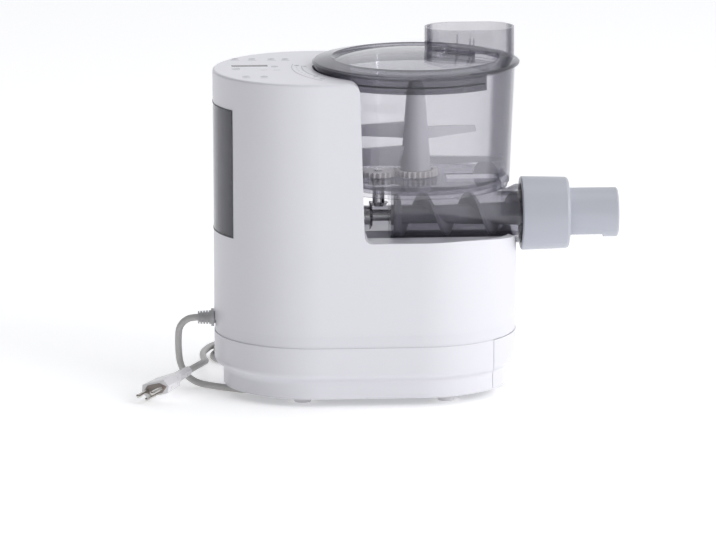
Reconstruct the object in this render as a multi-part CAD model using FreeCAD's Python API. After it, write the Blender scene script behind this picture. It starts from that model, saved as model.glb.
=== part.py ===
import FreeCAD, Part
import math
import os

from FreeCAD import Rotation, Vector

# An electric pasta maker: a stadium-shaped machine housing carries a clear
# mixing bowl with an extruder barrel. Millimetres. The origin is on the floor
# under the bowl's axis, +X points out of the extruder and +Z is up.

# Housing, from the rear end to the front end
BODY_R = 100.5
REAR_X = -102.0
WALL = 3.0
FLOOR_CLEAR = 8.0
PLINTH_R = 91.5
UNDERCUT_Z = (22.0, 35.0)
BASE_TOP_Z = 61.0
WAIST_TOP_Z = 73.0
WAIST_R = 99.5
BODY_TOP_Z = 326.0
TOP_ROUND = 2.5
DRAWER_X = 73.0

# Open front where the bowl stands
CUT_X_LOW = -57.0
CUT_X_HIGH = -61.0
CUT_CORNER_R = 10.0
CUT_FILLET = 8.0
DECK_Z = 166.0
DECK_NOSE_Z = 155.5
DISH_Z = 155.5
DISH_FLOOR_R = 86.0
DISH_LIP_R = 98.0
LEDGE_Z = 208.0
RECESS_R = 103.0

# Extruder axis, along X
AXIS_Z = 175.5
CHANNEL_R = 27.3

# Mixing bowl
BOWL_FLOOR_Z = 212.0
BOWL_RIM_Z = 329.5
BOWL_FOOT_R = 93.9
BOWL_RIM_R = 99.0
BOWL_WALL = 2.8
BARREL_R = 26.0
BARREL_BORE_R = 22.4
BARREL_END_X = 118.0
BOSS_R = 29.6
CHAMBER_X = -26.5

# Lid and fill chute
LID_R = 103.5
LID_Z = 330.5
LID_DOME = 8.0
DOME_REACH = 80.0
SKIRT_Z = 315.0
SKIRT_IN_R = 99.6
SKIRT_OUT_R = 101.6
CHUTE_CENTRE = (54.6, 14.0)
CHUTE_HALF = (44.8, 28.0)
CHUTE_TOP_Z = 363.5
CHUTE_WALL = 2.4

# Drive train: tooth counts and centres as (y, z)
MOTOR_AXIS = (8.5, 117.5)
LAY_AXIS = (21.0, 147.5)
FINE_MODULE = 1.25
COARSE_MODULE = 1.75
MOTOR_TEETH = 12
LAY_BIG_TEETH = 40
LAY_SMALL_TEETH = 12
OUTPUT_TEETH = 28
MOTOR_R = 32.0
SHAFT_R = 5.0
RUNNING_GAP = 0.05

# Mixer drive: a bevel pair under the bowl floor, then two spur gears above it
BEVEL_AUGER_TEETH = 18
BEVEL_IDLER_TEETH = 12
IDLER_TEETH = 20
PADDLE_TEETH = 24
MIXER_MODULE = 1.7
IDLER_X = -37.4
BEVEL_AXIAL = (9.0, 13.5)

# Lock nut, outlet and die
NUT_X = (105.0, 153.0)
NUT_R = (37.0, 35.7)
OUTLET_R = 24.9
OUTLET_END_X = 202.5

# Water tank in the rear wall
TANK_Z = (165.0, 294.0)
TANK_HALF_Y = 57.0
TANK_FRONT_X = -158.0
TANK_WALL = 2.2

# Storage drawer
TRAY_BACK_X = -40.0
TRAY_HALF_Y = 46.0
TRAY_Z = (13.0, 56.0)

# Mains lead
CORD_R = 3.4
CORD_FLOOR_Z = 3.5
COIL_CENTRE = (-166.0, 133.0)
COIL_TURNS = 3 + 165 / 360
COIL_OUT_R = 39.0
COIL_STEP = 8.2
COIL_STEPS = 16
COIL_RISE = 7.6
DISPLAY_X = (-183.0, -147.0)
DISPLAY_Y = (9.0, 19.0)
NOZZLE_AXIS = (0.0, 292.0)
RELIEF_AXIS = (0.0, 73.5)
SCREW_SPOTS = [(-165, -35), (-165, 35), (-60, -78), (-60, 78), (4, -80), (4, 80)]
FOOT_R = 10.5
FOOT_TREAD_Z = 3.5
FOOT_SPOTS = [(-117, -62), (-117, 62), (26, -64), (26, 64)]
MOTOR_X = (-178.0, -106.0)
FINE_X = (-100.0, -90.0)
COARSE_X = (-87.0, -75.0)
CASE_X = (-106.0, -68.0)
COVER_X = (-68.0, -60.0)
TONGUE_X = (-54.8, -48.6)
BEARING_R = 8.0
VALVE_AXIS = (0.0, 176.0)
PUMP_AXIS = (-132.0, 224.0)
FEED_X = (30.0, 80.0)
FEED_HALF_Y = 19.0
PIVOT_R = 4.0
FLOOR_THICK = 3.0
SCREW_R = 21.9
SCREW_CORE_R = (9.0, 12.0)
SCREW_X = (-20.0, 104.0)
SCREW_PITCH = 46.0
FLIGHT_START = 341.0
FLIGHT_ROOT = 6.4
FLIGHT_TIP = 3.0
MIX_GEAR_Z = (216.0, 222.0)
LEAD_ROUTE = [(-219, 0, 73.5), (-225.4, 0.1, 73.5), (-231.3, 0.5, 71), (-235.8, 1.3, 66.5), (-238.3, 2.8, 60.4),
              (-238.8, 6, 48), (-238.4, 8.5, 36), (-237, 10, 24),
              (-231, 10, 11.5), (-220, 6, 4.6), (-206, -2, 3.5), (-192, -12, 3.5), (-177, -22, 3.5),
              (-163, -28, 3.5), (-149, -25, 3.5), (-139, -13, 3.5), (-137, 4, 3.5), (-141, 22, 3.5),
              (-146, 40, 3.5), (-147, 59, 3.5), (-141, 77, 3.5), (-131, 93, 3.5)]
TAIL_ROUTE = [(-211.5, 104, 11.6), (-211.5, 85, 12.8), (-210.5, 65, 15), (-210, 45, 18.5), (-212.5, 25, 22)]
PLUG_TAIL = (-229.0, -9.0, 21.0)
PLUG_DIR = (-0.6, -0.789, -0.14)
PLUG_ROLL = 17.0
PLUG_LENGTH = 58.0
PIN_R = 2.0
PIN_LENGTH = 19.0


def vec(x, y, z):
    """Return a FreeCAD vector."""
    return Vector(x, y, z)


def block(x_range, y_range, z_range):
    """Return a box between three pairs of limits."""
    size = [limits[1] - limits[0] for limits in (x_range, y_range, z_range)]
    corner = vec(x_range[0], y_range[0], z_range[0])
    return Part.makeBox(size[0], size[1], size[2], corner)


def rod_x(radius, x_range, axis=(0.0, AXIS_Z)):
    """Return a cylinder along X about an axis given as (y, z)."""
    base = vec(x_range[0], axis[0], axis[1])
    return Part.makeCylinder(radius, x_range[1] - x_range[0], base, vec(1, 0, 0))


def ring_x(outer, inner, x_range, axis=(0.0, AXIS_Z)):
    """Return a plain ring along X."""
    return rod_x(outer, x_range, axis).cut(rod_x(inner, x_range, axis))


def rod_z(radius, z_range, x=0.0, y=0.0):
    """Return an upright cylinder."""
    return Part.makeCylinder(radius, z_range[1] - z_range[0], vec(x, y, z_range[0]))


def ring_z(outer, inner, z_range, x=0.0, y=0.0):
    """Return an upright plain ring."""
    return rod_z(outer, z_range, x, y).cut(rod_z(inner, z_range, x, y))


def closed_face(points):
    """Return a flat face with straight sides through the points."""
    return Part.Face(Part.makePolygon(points + [points[0]]))


def lathe_z(profile, x=0.0, y=0.0):
    """Revolve (radius, z) points about an upright axis."""
    face = closed_face([vec(r, 0, z) for r, z in profile])
    solid = face.revolve(vec(0, 0, 0), vec(0, 0, 1), 360)
    solid.translate(vec(x, y, 0))
    return solid


def lathe_x(profile, axis=(0.0, AXIS_Z)):
    """Revolve (x, radius) points about an axis along X."""
    face = closed_face([vec(x, 0, r) for x, r in profile])
    solid = face.revolve(vec(0, 0, 0), vec(1, 0, 0), 360)
    solid.translate(vec(0, axis[0], axis[1]))
    return solid


def line(start, end):
    """Return a straight edge."""
    return Part.LineSegment(start, end).toShape()


def arc(start, middle, end):
    """Return an arc edge through three points."""
    return Part.Arc(start, middle, end).toShape()


def fuse_all(shapes):
    """Join touching solids into one."""
    joined = shapes[0]
    if len(shapes) > 1:
        joined = shapes[0].fuse(shapes[1:])
    return joined.removeSplitter()


def save(name, shape):
    """Write one sub-part and print its volume."""
    solids = shape.Solids
    whole = solids[0] if len(solids) == 1 else Part.makeCompound(solids)
    whole.exportStep(os.path.join("parts", name + ".step"))
    print(f"{name}: {len(solids)} solid(s), {whole.Volume / 1000:.2f} cm3, valid {whole.isValid()}")


# Stadium-plan solids

def stadium(edges):
    """Sweep a closed (r, 0, z) profile that starts on the axis round the stadium plan."""
    face = Part.Face(Part.Wire(edges))
    front = face.revolve(vec(0, 0, 0), vec(0, 0, 1), 360)
    rear = front.copy()
    rear.translate(vec(REAR_X, 0, 0))
    side = face.copy()
    side.rotate(vec(0, 0, 0), vec(0, 0, 1), 90)
    half = side.extrude(vec(REAR_X, 0, 0))
    other = half.mirror(vec(0, 0, 0), vec(0, 1, 0))
    return front.fuse([rear, half, other]).removeSplitter()


def profile_edges(points):
    """Return straight profile edges through (r, z) points, closed."""
    corners = [vec(r, 0, z) for r, z in points]
    return [line(a, b) for a, b in zip(corners, corners[1:] + corners[:1])]


def plain_stadium(radius, z_range):
    """Return a straight-walled stadium prism."""
    low, high = z_range
    return stadium(profile_edges([(0, low), (radius, low), (radius, high), (0, high)]))


def s_curve(low, high):
    """Return two arcs, upright at both ends, between two (r, z) points."""
    half_r = (high[0] - low[0]) / 2
    half_z = (high[1] - low[1]) / 2
    radius = (half_r ** 2 + half_z ** 2) / (2 * half_r)
    turn = math.asin(half_z / radius) / 2
    step_r = radius * (1 - math.cos(turn))
    step_z = radius * math.sin(turn)
    start = vec(low[0], 0, low[1])
    middle = vec(low[0] + half_r, 0, low[1] + half_z)
    end = vec(high[0], 0, high[1])
    first = arc(start, start + vec(step_r, 0, step_z), middle)
    second = arc(middle, end - vec(step_r, 0, step_z), end)
    return [first, second]


def base_body(inset, z_range):
    """Return the solid inside the base's wall, drawn in by an inset, with its undercut."""
    low, high = z_range
    start = vec(0, 0, low)
    foot = vec(PLINTH_R - inset, 0, low)
    inner = (PLINTH_R - inset, UNDERCUT_Z[0])
    outer = (BODY_R - inset, UNDERCUT_Z[1])
    edges = [line(start, foot), line(foot, vec(inner[0], 0, inner[1]))]
    edges += s_curve(inner, outer)
    edges += [line(vec(outer[0], 0, outer[1]), vec(outer[0], 0, high))]
    edges += [line(vec(outer[0], 0, high), vec(0, 0, high)), line(vec(0, 0, high), start)]
    return stadium(edges)


# Housing

def cutaway(grow):
    """Return the space cut out of the housing for the bowl, grown by a wall."""
    low_x = CUT_X_LOW - grow
    high_x = CUT_X_HIGH - grow
    deck = DECK_Z - grow
    nose = DECK_NOSE_Z - grow
    fillet = CUT_FILLET
    bend = fillet * (1 - math.sqrt(0.5))
    crown = BODY_TOP_Z + 20
    points = [vec(140, 0, nose), vec(BODY_R + 4, 0, nose), vec(35, 0, deck)]
    swoop = arc(points[1], vec(72, 0, deck - 3.0), points[2])
    floor_end = vec(low_x + fillet, 0, deck)
    wall_start = vec(low_x, 0, deck + fillet)
    wall_end = vec(high_x, 0, BODY_TOP_Z - CUT_CORNER_R - grow)
    flare = vec(high_x - CUT_CORNER_R, 0, BODY_TOP_Z - grow)
    swell = CUT_CORNER_R * (1 - math.sqrt(0.5))
    edges = [line(points[0], points[1]), swoop, line(points[2], floor_end)]
    edges += [arc(floor_end, vec(low_x + bend, 0, deck + bend), wall_start)]
    edges += [line(wall_start, wall_end)]
    edges += [arc(wall_end, vec(high_x - swell, 0, flare.z - swell), flare)]
    edges += [line(flare, vec(flare.x, 0, crown)), line(vec(flare.x, 0, crown), vec(140, 0, crown))]
    edges += [line(vec(140, 0, crown), points[0])]
    sheet = Part.Face(Part.Wire(edges))
    sheet.translate(vec(0, -130, 0))
    front = sheet.extrude(vec(0, 260, 0))
    recess = rod_z(RECESS_R + grow, (LEDGE_Z - grow, crown))
    clear = CHANNEL_R + grow
    channel = lathe_x([(low_x, 0), (low_x, clear), (87, clear), (97, clear + 4), (140, clear + 4), (140, 0)])
    low = DISH_Z - grow
    dish = lathe_z([(0, low), (DISH_FLOOR_R + grow, low), (DISH_FLOOR_R + 7 + grow, low + 2.6),
                    (DISH_LIP_R + grow, deck), (DISH_LIP_R + grow, deck + 1), (0, deck + 1)])
    dish = dish.common(block((low_x, 140), (-130, 130), (100, 200)))
    return front.fuse([recess, channel, dish]).removeSplitter()


def main_housing():
    """Upper housing shell with the bowl's recess, tank window and wall bores."""
    top = BODY_TOP_Z
    radius = BODY_R
    slope = TOP_ROUND * (1 - math.sqrt(0.5))
    edges = [line(vec(0, 0, WAIST_TOP_Z), vec(radius, 0, WAIST_TOP_Z))]
    edges += [line(vec(radius, 0, WAIST_TOP_Z), vec(radius, 0, top - TOP_ROUND))]
    edges += [arc(vec(radius, 0, top - TOP_ROUND), vec(radius - slope, 0, top - slope),
                  vec(radius - TOP_ROUND, 0, top))]
    edges += [line(vec(radius - TOP_ROUND, 0, top), vec(0, 0, top))]
    edges += [line(vec(0, 0, top), vec(0, 0, WAIST_TOP_Z))]
    shell = stadium(edges).cut(cutaway(0))
    hollow = plain_stadium(radius - WALL, (WAIST_TOP_Z - 1, top - WALL)).cut(cutaway(WALL))
    shell = shell.cut(hollow)
    window = block((-220, -170), (-TANK_HALF_Y, TANK_HALF_Y), TANK_Z)
    shell = shell.cut(window)
    shell = shell.cut(rod_x(13.05, (CUT_X_LOW - 8, CUT_X_LOW + 2)))
    shell = shell.cut(display_solid(0.0))
    shell = shell.cut(rod_x(4.2, (-112, -96), NOZZLE_AXIS))
    return shell.cut(rod_x(6.2, (-206, -190), RELIEF_AXIS))


def display_solid(inset):
    """Return the display lens, flush with the top face."""
    x_range = (DISPLAY_X[0] + inset, DISPLAY_X[1] - inset)
    y_range = (DISPLAY_Y[0] + inset, DISPLAY_Y[1] - inset)
    return block(x_range, y_range, (BODY_TOP_Z - WALL, BODY_TOP_Z))


def base_shell():
    """Lower wall of the base, with the bulkhead that the drawer slides through."""
    shell = base_body(0, (FLOOR_CLEAR, BASE_TOP_Z))
    shell = shell.cut(base_body(WALL, (FLOOR_CLEAR - 1, BASE_TOP_Z + 1)))
    keep = block((-220, DRAWER_X), (-120, 120), (0, 80))
    shell = shell.common(keep)
    bulkhead = base_body(WALL / 2, (FLOOR_CLEAR + WALL, BASE_TOP_Z))
    bulkhead = bulkhead.common(block((DRAWER_X - WALL, DRAWER_X), (-120, 120), (0, 80)))
    gate = block((DRAWER_X - 10, DRAWER_X + 10), (-TRAY_HALF_Y - 0.6, TRAY_HALF_Y + 0.6),
                 (TRAY_Z[0] - 0.6, TRAY_Z[1] + 0.6))
    return shell.fuse(bulkhead.cut(gate)).removeSplitter()


def bottom_plate():
    """Floor of the base with the drawer's two side rails."""
    plate = plain_stadium(PLINTH_R - WALL - 0.1, (FLOOR_CLEAR, FLOOR_CLEAR + WALL))
    plate = plate.common(block((-220, DRAWER_X), (-120, 120), (0, 80)))
    rails = []
    for side in (-1, 1):
        edge = side * (TRAY_HALF_Y + 0.5)
        y_range = sorted((edge, edge + side * 2.5))
        rails.append(block((TRAY_BACK_X, DRAWER_X - WALL), y_range, (FLOOR_CLEAR + WALL, 30)))
    plate = fuse_all([plate] + rails)
    for x, y in SCREW_SPOTS:
        plate = plate.cut(rod_z(2.0, (0, 20), x, y))
    return plate


def feet():
    """Four soft feet, each a wide pad with a narrower tread under it."""
    parts = []
    for x, y in FOOT_SPOTS:
        pad_z = (FOOT_TREAD_Z, FLOOR_CLEAR)
        ends = [rod_z(FOOT_R, pad_z, x + shift, y) for shift in (-3, 3)]
        middle = block((x - 3, x + 3), (y - FOOT_R, y + FOOT_R), pad_z)
        tread = rod_z(FOOT_R - 2, (0, FOOT_TREAD_Z), x, y)
        parts.append(fuse_all(ends + [middle, tread]))
    return Part.makeCompound(parts)


def screws(spots, z_range, shank, head):
    """Countersunk screws pointing up, one solid for each spot."""
    low, high = z_range
    profile = [(0, low), (head, low), (shank, low + 1.4), (shank, high - 1), (0, high)]
    return Part.makeCompound([lathe_z(profile, x, y) for x, y in spots])


def waist_band():
    """Recessed band between the two seams."""
    band = plain_stadium(WAIST_R, (BASE_TOP_Z, WAIST_TOP_Z))
    band = band.cut(plain_stadium(WAIST_R - 4, (BASE_TOP_Z - 1, WAIST_TOP_Z + 1)))
    return band.cut(rod_x(6.2, (-206, -190), RELIEF_AXIS))


def chassis_plate():
    """Plate that carries the drive inside the waist band."""
    plate = plain_stadium(WAIST_R - 4, (BASE_TOP_Z + 1, BASE_TOP_Z + 4))
    for x in (-150, -40, 10, 55):
        plate = plate.cut(rod_z(11, (50, 80), x, 0))
    return plate


# Toothed wheels

def tooth_outline(teeth, pitch_r, tip_r, root_r, slack, phase):
    """Return outline points of a wheel with straight-flanked teeth."""
    half_pitch = math.pi * pitch_r / teeth / 2 - slack / 2
    slope = math.tan(math.radians(20))
    points = []
    for index in range(teeth):
        centre = phase + 2 * math.pi * index / teeth
        for radius, side in ((root_r, -1), (tip_r, -1), (tip_r, 1), (root_r, 1)):
            half = half_pitch + (pitch_r - radius) * slope
            angle = centre + side * half / radius
            points.append((radius * math.cos(angle), radius * math.sin(angle)))
    return points


def spur_wheel(teeth, module, phase, slack=0.55):
    """Return (pitch radius, outline points) of a spur wheel."""
    pitch_r = teeth * module / 2
    outline = tooth_outline(teeth, pitch_r, pitch_r + 0.9 * module, pitch_r - 1.2 * module, slack, phase)
    return pitch_r, outline


def spur_x(teeth, module, x_range, axis, phase):
    """Return a spur wheel on an axis along X; angles run from +Y to +Z."""
    outline = spur_wheel(teeth, module, phase)[1]
    face = closed_face([vec(x_range[0], axis[0] + p, axis[1] + q) for p, q in outline])
    return face.extrude(vec(x_range[1] - x_range[0], 0, 0))


def spur_z(teeth, module, z_range, x, phase):
    """Return a spur wheel on an upright axis."""
    outline = spur_wheel(teeth, module, phase)[1]
    face = closed_face([vec(x + p, q, z_range[0]) for p, q in outline])
    return face.extrude(vec(0, 0, z_range[1] - z_range[0]))


def bevel_outlines(teeth, axial, mate_axial, phase):
    """Return the large and small end outlines of a bevel wheel and their axial places."""
    pitch_angle = math.atan2(mate_axial, axial)
    tip_r = axial * math.tan(pitch_angle + math.radians(2.6))
    root_r = axial * math.tan(pitch_angle - math.radians(4.0))
    outline = tooth_outline(teeth, mate_axial, tip_r, root_r, 0.5, phase)
    small = [(p * 0.72, q * 0.72) for p, q in outline]
    return outline, small, axial, axial * 0.72


def ruled_wheel(big, small):
    """Return the solid between two matching outlines."""
    wires = [Part.makePolygon(points + [points[0]]) for points in (big, small)]
    return Part.makeLoft(wires, True, True)


def mesh_phase(first_teeth, first_phase, second_teeth, direction):
    """Return the second wheel's phase so that its gap faces the first wheel's tooth.

    The direction is the angle from the first centre to the second.
    """
    step = 2 * math.pi / first_teeth
    lead = (direction - first_phase) / step
    second_step = 2 * math.pi / second_teeth
    return direction + math.pi + (lead + 0.5) * second_step


# Motor and gearbox

def axis_angle(start, end):
    """Return the angle of the line between two (y, z) centres."""
    return math.atan2(end[1] - start[1], end[0] - start[0])


def motor_can():
    """Motor's steel can, open at the rear, with its front bearing seat."""
    can = ring_x(MOTOR_R, MOTOR_R - 3, (MOTOR_X[0] + 6, MOTOR_X[1]), MOTOR_AXIS)
    front = ring_x(MOTOR_R - 2, BEARING_R, (MOTOR_X[1] - 4, MOTOR_X[1]), MOTOR_AXIS)
    can = can.fuse(front)
    for side in (-1, 1):
        y_range = sorted((MOTOR_AXIS[0] + side * 27, MOTOR_AXIS[0] + side * 36))
        slot = block((-160, -130), y_range, (MOTOR_AXIS[1] - 6, MOTOR_AXIS[1] + 6))
        can = can.cut(slot)
    return can.removeSplitter()


def motor_end_cap():
    """Rear end cap with the second bearing seat and air slots."""
    start = MOTOR_X[0]
    cap = ring_x(MOTOR_R, BEARING_R, (start, start + 6), MOTOR_AXIS)
    for index in range(6):
        slot = block((start - 1, start + 7), (-3, 3), (14, 26))
        slot.rotate(vec(0, 0, 0), vec(1, 0, 0), 60 * index)
        slot.translate(vec(0, MOTOR_AXIS[0], MOTOR_AXIS[1]))
        cap = cap.cut(slot)
    return cap


def motor_rotor():
    """Laminated core with slots, on the motor shaft."""
    core = ring_x(25.5, SHAFT_R - 0.5, (-164, -122), MOTOR_AXIS)
    for index in range(12):
        slot = block((-170, -110), (-1.6, 1.6), (18, 30))
        slot.rotate(vec(0, 0, 0), vec(1, 0, 0), 30 * index)
        slot.translate(vec(0, MOTOR_AXIS[0], MOTOR_AXIS[1]))
        core = core.cut(slot)
    return core


def motor_shaft():
    """Motor shaft with the pinion cut on its front end."""
    shaft = rod_x(SHAFT_R - 0.5, (MOTOR_X[0] + 0.5, FINE_X[0]), MOTOR_AXIS)
    pinion = spur_x(MOTOR_TEETH, FINE_MODULE, FINE_X, MOTOR_AXIS, 0.0)
    tip = rod_x(SHAFT_R - 0.5, (FINE_X[1], CASE_X[1] - 0.5), MOTOR_AXIS)
    return fuse_all([shaft, pinion, tip])


def lay_gear():
    """Intermediate wheel: a fine wheel and a coarse pinion on one shaft."""
    to_lay = axis_angle(MOTOR_AXIS, LAY_AXIS)
    big_phase = mesh_phase(MOTOR_TEETH, 0.0, LAY_BIG_TEETH, to_lay)
    big = spur_x(LAY_BIG_TEETH, FINE_MODULE, FINE_X, LAY_AXIS, big_phase)
    for index in range(5):
        hole = rod_x(4.2, (FINE_X[0] - 1, FINE_X[1] + 1), (15.5, 0))
        hole.rotate(vec(0, 0, 0), vec(1, 0, 0), 72 * index)
        hole.translate(vec(0, LAY_AXIS[0], LAY_AXIS[1]))
        big = big.cut(hole)
    small = spur_x(LAY_SMALL_TEETH, COARSE_MODULE, (FINE_X[1], COARSE_X[1]), LAY_AXIS, 0.0)
    shaft = rod_x(SHAFT_R - 0.5, (CASE_X[0] + 0.5, COVER_X[1] - 2.5), LAY_AXIS)
    return fuse_all([big, small, shaft])


def output_gear():
    """Slow wheel on the output shaft."""
    to_output = axis_angle(LAY_AXIS, (0.0, AXIS_Z))
    phase = mesh_phase(LAY_SMALL_TEETH, 0.0, OUTPUT_TEETH, to_output)
    wheel = spur_x(OUTPUT_TEETH, COARSE_MODULE, COARSE_X, (0.0, AXIS_Z), phase)
    for index in range(5):
        hole = rod_x(3.6, (-95, -70), (15.0, 0))
        hole.rotate(vec(0, 0, 0), vec(1, 0, 0), 72 * index)
        hole.translate(vec(0, 0, AXIS_Z))
        wheel = wheel.cut(hole)
    return wheel.cut(rod_x(SHAFT_R + 1.5, (-95, -60)))


def output_shaft():
    """Steel output shaft with the two-flat tongue that drives the screw."""
    shaft = rod_x(SHAFT_R + 1.5, (CASE_X[0] + 0.5, TONGUE_X[0]))
    tongue = rod_x(SHAFT_R + 1.5, TONGUE_X).common(block(TONGUE_X, (-3, 3), (160, 190)))
    return fuse_all([shaft, tongue])


def gearbox_outline(x_range, shrink):
    """Return the lobed solid around the three gear centres."""
    lobes = [rod_x(29.2 - shrink, x_range), rod_x(29.2 - shrink, x_range, LAY_AXIS)]
    lobes.append(rod_x(15.0 - shrink, x_range, MOTOR_AXIS))
    return fuse_all(lobes)


def gearbox_case():
    """Die-cast case, open at the front, with three bearing seats in its rear wall."""
    case = gearbox_outline(CASE_X, 0)
    case = case.cut(gearbox_outline((CASE_X[0] + 4, CASE_X[1] + 1), 2.5))
    case = case.cut(rod_x(BEARING_R, (-110, -100)))
    case = case.cut(rod_x(BEARING_R, (-110, -100), LAY_AXIS))
    return case.cut(rod_x(SHAFT_R, (-110, -100), MOTOR_AXIS))


def gearbox_cover():
    """Front cover with bearing seats, behind the housing's wall."""
    cover = gearbox_outline((COVER_X[0], COVER_X[0] + 4), 0)
    boss = rod_x(13, (COVER_X[0] + 3, COVER_X[1] + 0))
    lay_boss = rod_x(11, (COVER_X[0] + 3, COVER_X[1]), LAY_AXIS)
    cover = fuse_all([cover, boss, lay_boss])
    cover = cover.cut(rod_x(9.0, (-70, -50)))
    cover = cover.cut(rod_x(BEARING_R, (-70, COVER_X[1] - 2), LAY_AXIS))
    return cover.cut(rod_x(BEARING_R - 1, (-70, -66), MOTOR_AXIS))


def shaft_bearings():
    """Plain bearings of the motor, the intermediate wheel and the output shaft."""
    thin = SHAFT_R - 0.5 + RUNNING_GAP
    thick = SHAFT_R + 1.5 + RUNNING_GAP
    rings = [ring_x(BEARING_R, thin, (MOTOR_X[0], MOTOR_X[0] + 6), MOTOR_AXIS)]
    rings.append(ring_x(BEARING_R, thin, (MOTOR_X[1] - 4, MOTOR_X[1]), MOTOR_AXIS))
    rings.append(ring_x(BEARING_R, thin, (CASE_X[0], CASE_X[0] + 4), LAY_AXIS))
    rings.append(ring_x(BEARING_R, thin, (COVER_X[0], COVER_X[1] - 2), LAY_AXIS))
    rings.append(ring_x(BEARING_R, thick, (CASE_X[0], CASE_X[0] + 4)))
    rings.append(ring_x(9.0, thick, (COVER_X[0], COVER_X[1])))
    return Part.makeCompound(rings)


def drive_seal():
    """Shaft seal and guide collar in the housing's wall."""
    collar = ring_x(13.0, SHAFT_R + 1.5 + RUNNING_GAP, (COVER_X[1], CUT_X_LOW))
    lip = ring_x(15.5, SHAFT_R + 1.5 + RUNNING_GAP, (CUT_X_LOW, CUT_X_LOW + 1.5))
    return fuse_all([collar, lip])


def motor_bracket():
    """Bracket with two saddles under the motor."""
    floor_z = BASE_TOP_Z + 4
    plate = block((-176, -108), (MOTOR_AXIS[0] - 24, MOTOR_AXIS[0] + 24), (floor_z, floor_z + 3))
    ribs = [block((x, x + 6), (MOTOR_AXIS[0] - 24, MOTOR_AXIS[0] + 24), (floor_z, 104)) for x in (-166, -124)]
    bracket = fuse_all([plate] + ribs)
    return bracket.cut(rod_x(MOTOR_R, (-190, -100), MOTOR_AXIS))


# Water tank and its bay

def tank_body_solid(inset, z_range):
    """Return the tank's block with a rear face that follows the housing."""
    half_y = TANK_HALF_Y - 0.6 - inset
    shape = plain_stadium(BODY_R - inset, z_range)
    return shape.common(block((-220, TANK_FRONT_X - inset), (-half_y, half_y), (0, 400)))


def tank_shell():
    """Clear tank, open at the top, with a valve bore low in its front wall."""
    low = TANK_Z[0] + 0.6
    high = TANK_Z[1] - 0.6
    shell = tank_body_solid(0, (low, high))
    shell = shell.cut(tank_body_solid(TANK_WALL, (low + TANK_WALL, high + 1)))
    return shell.cut(rod_x(5.0, (TANK_FRONT_X - 6, TANK_FRONT_X + 2), VALVE_AXIS))


def tank_lid():
    """Lid that sits in the top of the tank, with its filling hole."""
    high = TANK_Z[1] - 0.6
    lid = tank_body_solid(TANK_WALL, (high - 3, high))
    return lid.cut(rod_z(14, (high - 4, high + 1), -178, 0))


def tank_valve():
    """Spring valve pressed into the tank's front wall."""
    body = ring_x(5.0, 2.2, (TANK_FRONT_X - 7, TANK_FRONT_X), VALVE_AXIS)
    flange = ring_x(7.0, 2.2, (TANK_FRONT_X - 7 + 1.5, TANK_FRONT_X - TANK_WALL), VALVE_AXIS)
    return fuse_all([body, flange])


def tank_bay():
    """Liner behind the tank window, open at the rear, with the valve seat's hole."""
    outer = block((-197, TANK_FRONT_X + 3), (-TANK_HALF_Y - 2, TANK_HALF_Y + 2),
                  (TANK_Z[0] - 2, TANK_Z[1] + 2))
    outer = outer.common(plain_stadium(BODY_R - WALL, (100, 320)))
    inner = block((-220, TANK_FRONT_X + 0.8), (-TANK_HALF_Y, TANK_HALF_Y), TANK_Z)
    return outer.cut(inner).cut(rod_x(3.0, (TANK_FRONT_X - 5, TANK_FRONT_X + 5), VALVE_AXIS))


# Water line and electrics


def water_pump():
    """Small plunger pump with an inlet and an outlet stub."""
    x, z = PUMP_AXIS
    body = Part.makeCylinder(13, 40, vec(x, -48, z), vec(0, 1, 0))
    nose = Part.makeCylinder(8, 8, vec(x, -8, z), vec(0, 1, 0))
    tail = Part.makeCylinder(8, 8, vec(x, -56, z), vec(0, 1, 0))
    stub = Part.makeCylinder(3.2, 8, vec(x, 0, z), vec(0, 1, 0))
    inlet = Part.makeCylinder(3.2, 8, vec(x, -64, z), vec(0, 1, 0))
    clamp = block((x - 16, x + 16), (-32, -24), (z - 3, z + 3))
    return fuse_all([body, nose, tail, stub, inlet, clamp])


def water_hoses():
    """Hose from the tank to the pump and hose from the pump to the nozzle."""
    x, z = PUMP_AXIS
    delivery = [(x, 8, z), (x, 22, z), (x, 24, z + 26), (x + 2, 12, z + 52),
                (x + 6, 0, NOZZLE_AXIS[1]), (x + 16, 0, NOZZLE_AXIS[1])]
    suction = [(x, -64, z), (x, -73, z), (x - 3, -77, z - 16), (x - 8, -62, z - 40), (x - 14, -30, 176),
               (x - 16, -8, 176), (TANK_FRONT_X + 14, 0, 176), (TANK_FRONT_X + 3, 0, 176)]
    return Part.makeCompound([rounded_tube(delivery, 3.0)[0], rounded_tube(suction, 3.0)[0]])


def water_nozzle():
    """Nozzle through the recess wall that points at the bowl's inlet."""
    body = ring_x(4.1, 1.6, (-116, -100.2), NOZZLE_AXIS)
    return fuse_all([body, ring_x(7.0, 1.6, (-110, -107.5), NOZZLE_AXIS)])


def control_board():
    """Circuit board under the top face with the display module on it."""
    high = BODY_TOP_Z - WALL
    board = block((-190, -135), (-32, 36), (high - 8, high - 6.4))
    module = block((DISPLAY_X[0] + 1, DISPLAY_X[1] - 1), (DISPLAY_Y[0] + 1, DISPLAY_Y[1] - 1),
                   (high - 6.4, high))
    return fuse_all([board, module])


def power_board():
    """Supply board standing on the chassis plate beside the drive."""
    low = BASE_TOP_Z + 4
    board = block((-60, 20), (52, 53.6), (low, low + 62))
    parts = [board, block((-50, -28), (53.6, 70), (low + 8, low + 34)),
             block((-14, 8), (53.6, 66), (low + 10, low + 40))]
    capacitor = rod_z(7, (low + 40, low + 60), -38, 59.6)
    parts.append(capacitor.fuse(block((-41, -35), (53.6, 59.6), (low + 42, low + 56))))
    return fuse_all(parts)


# Mixing bowl and extruder barrel


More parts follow.
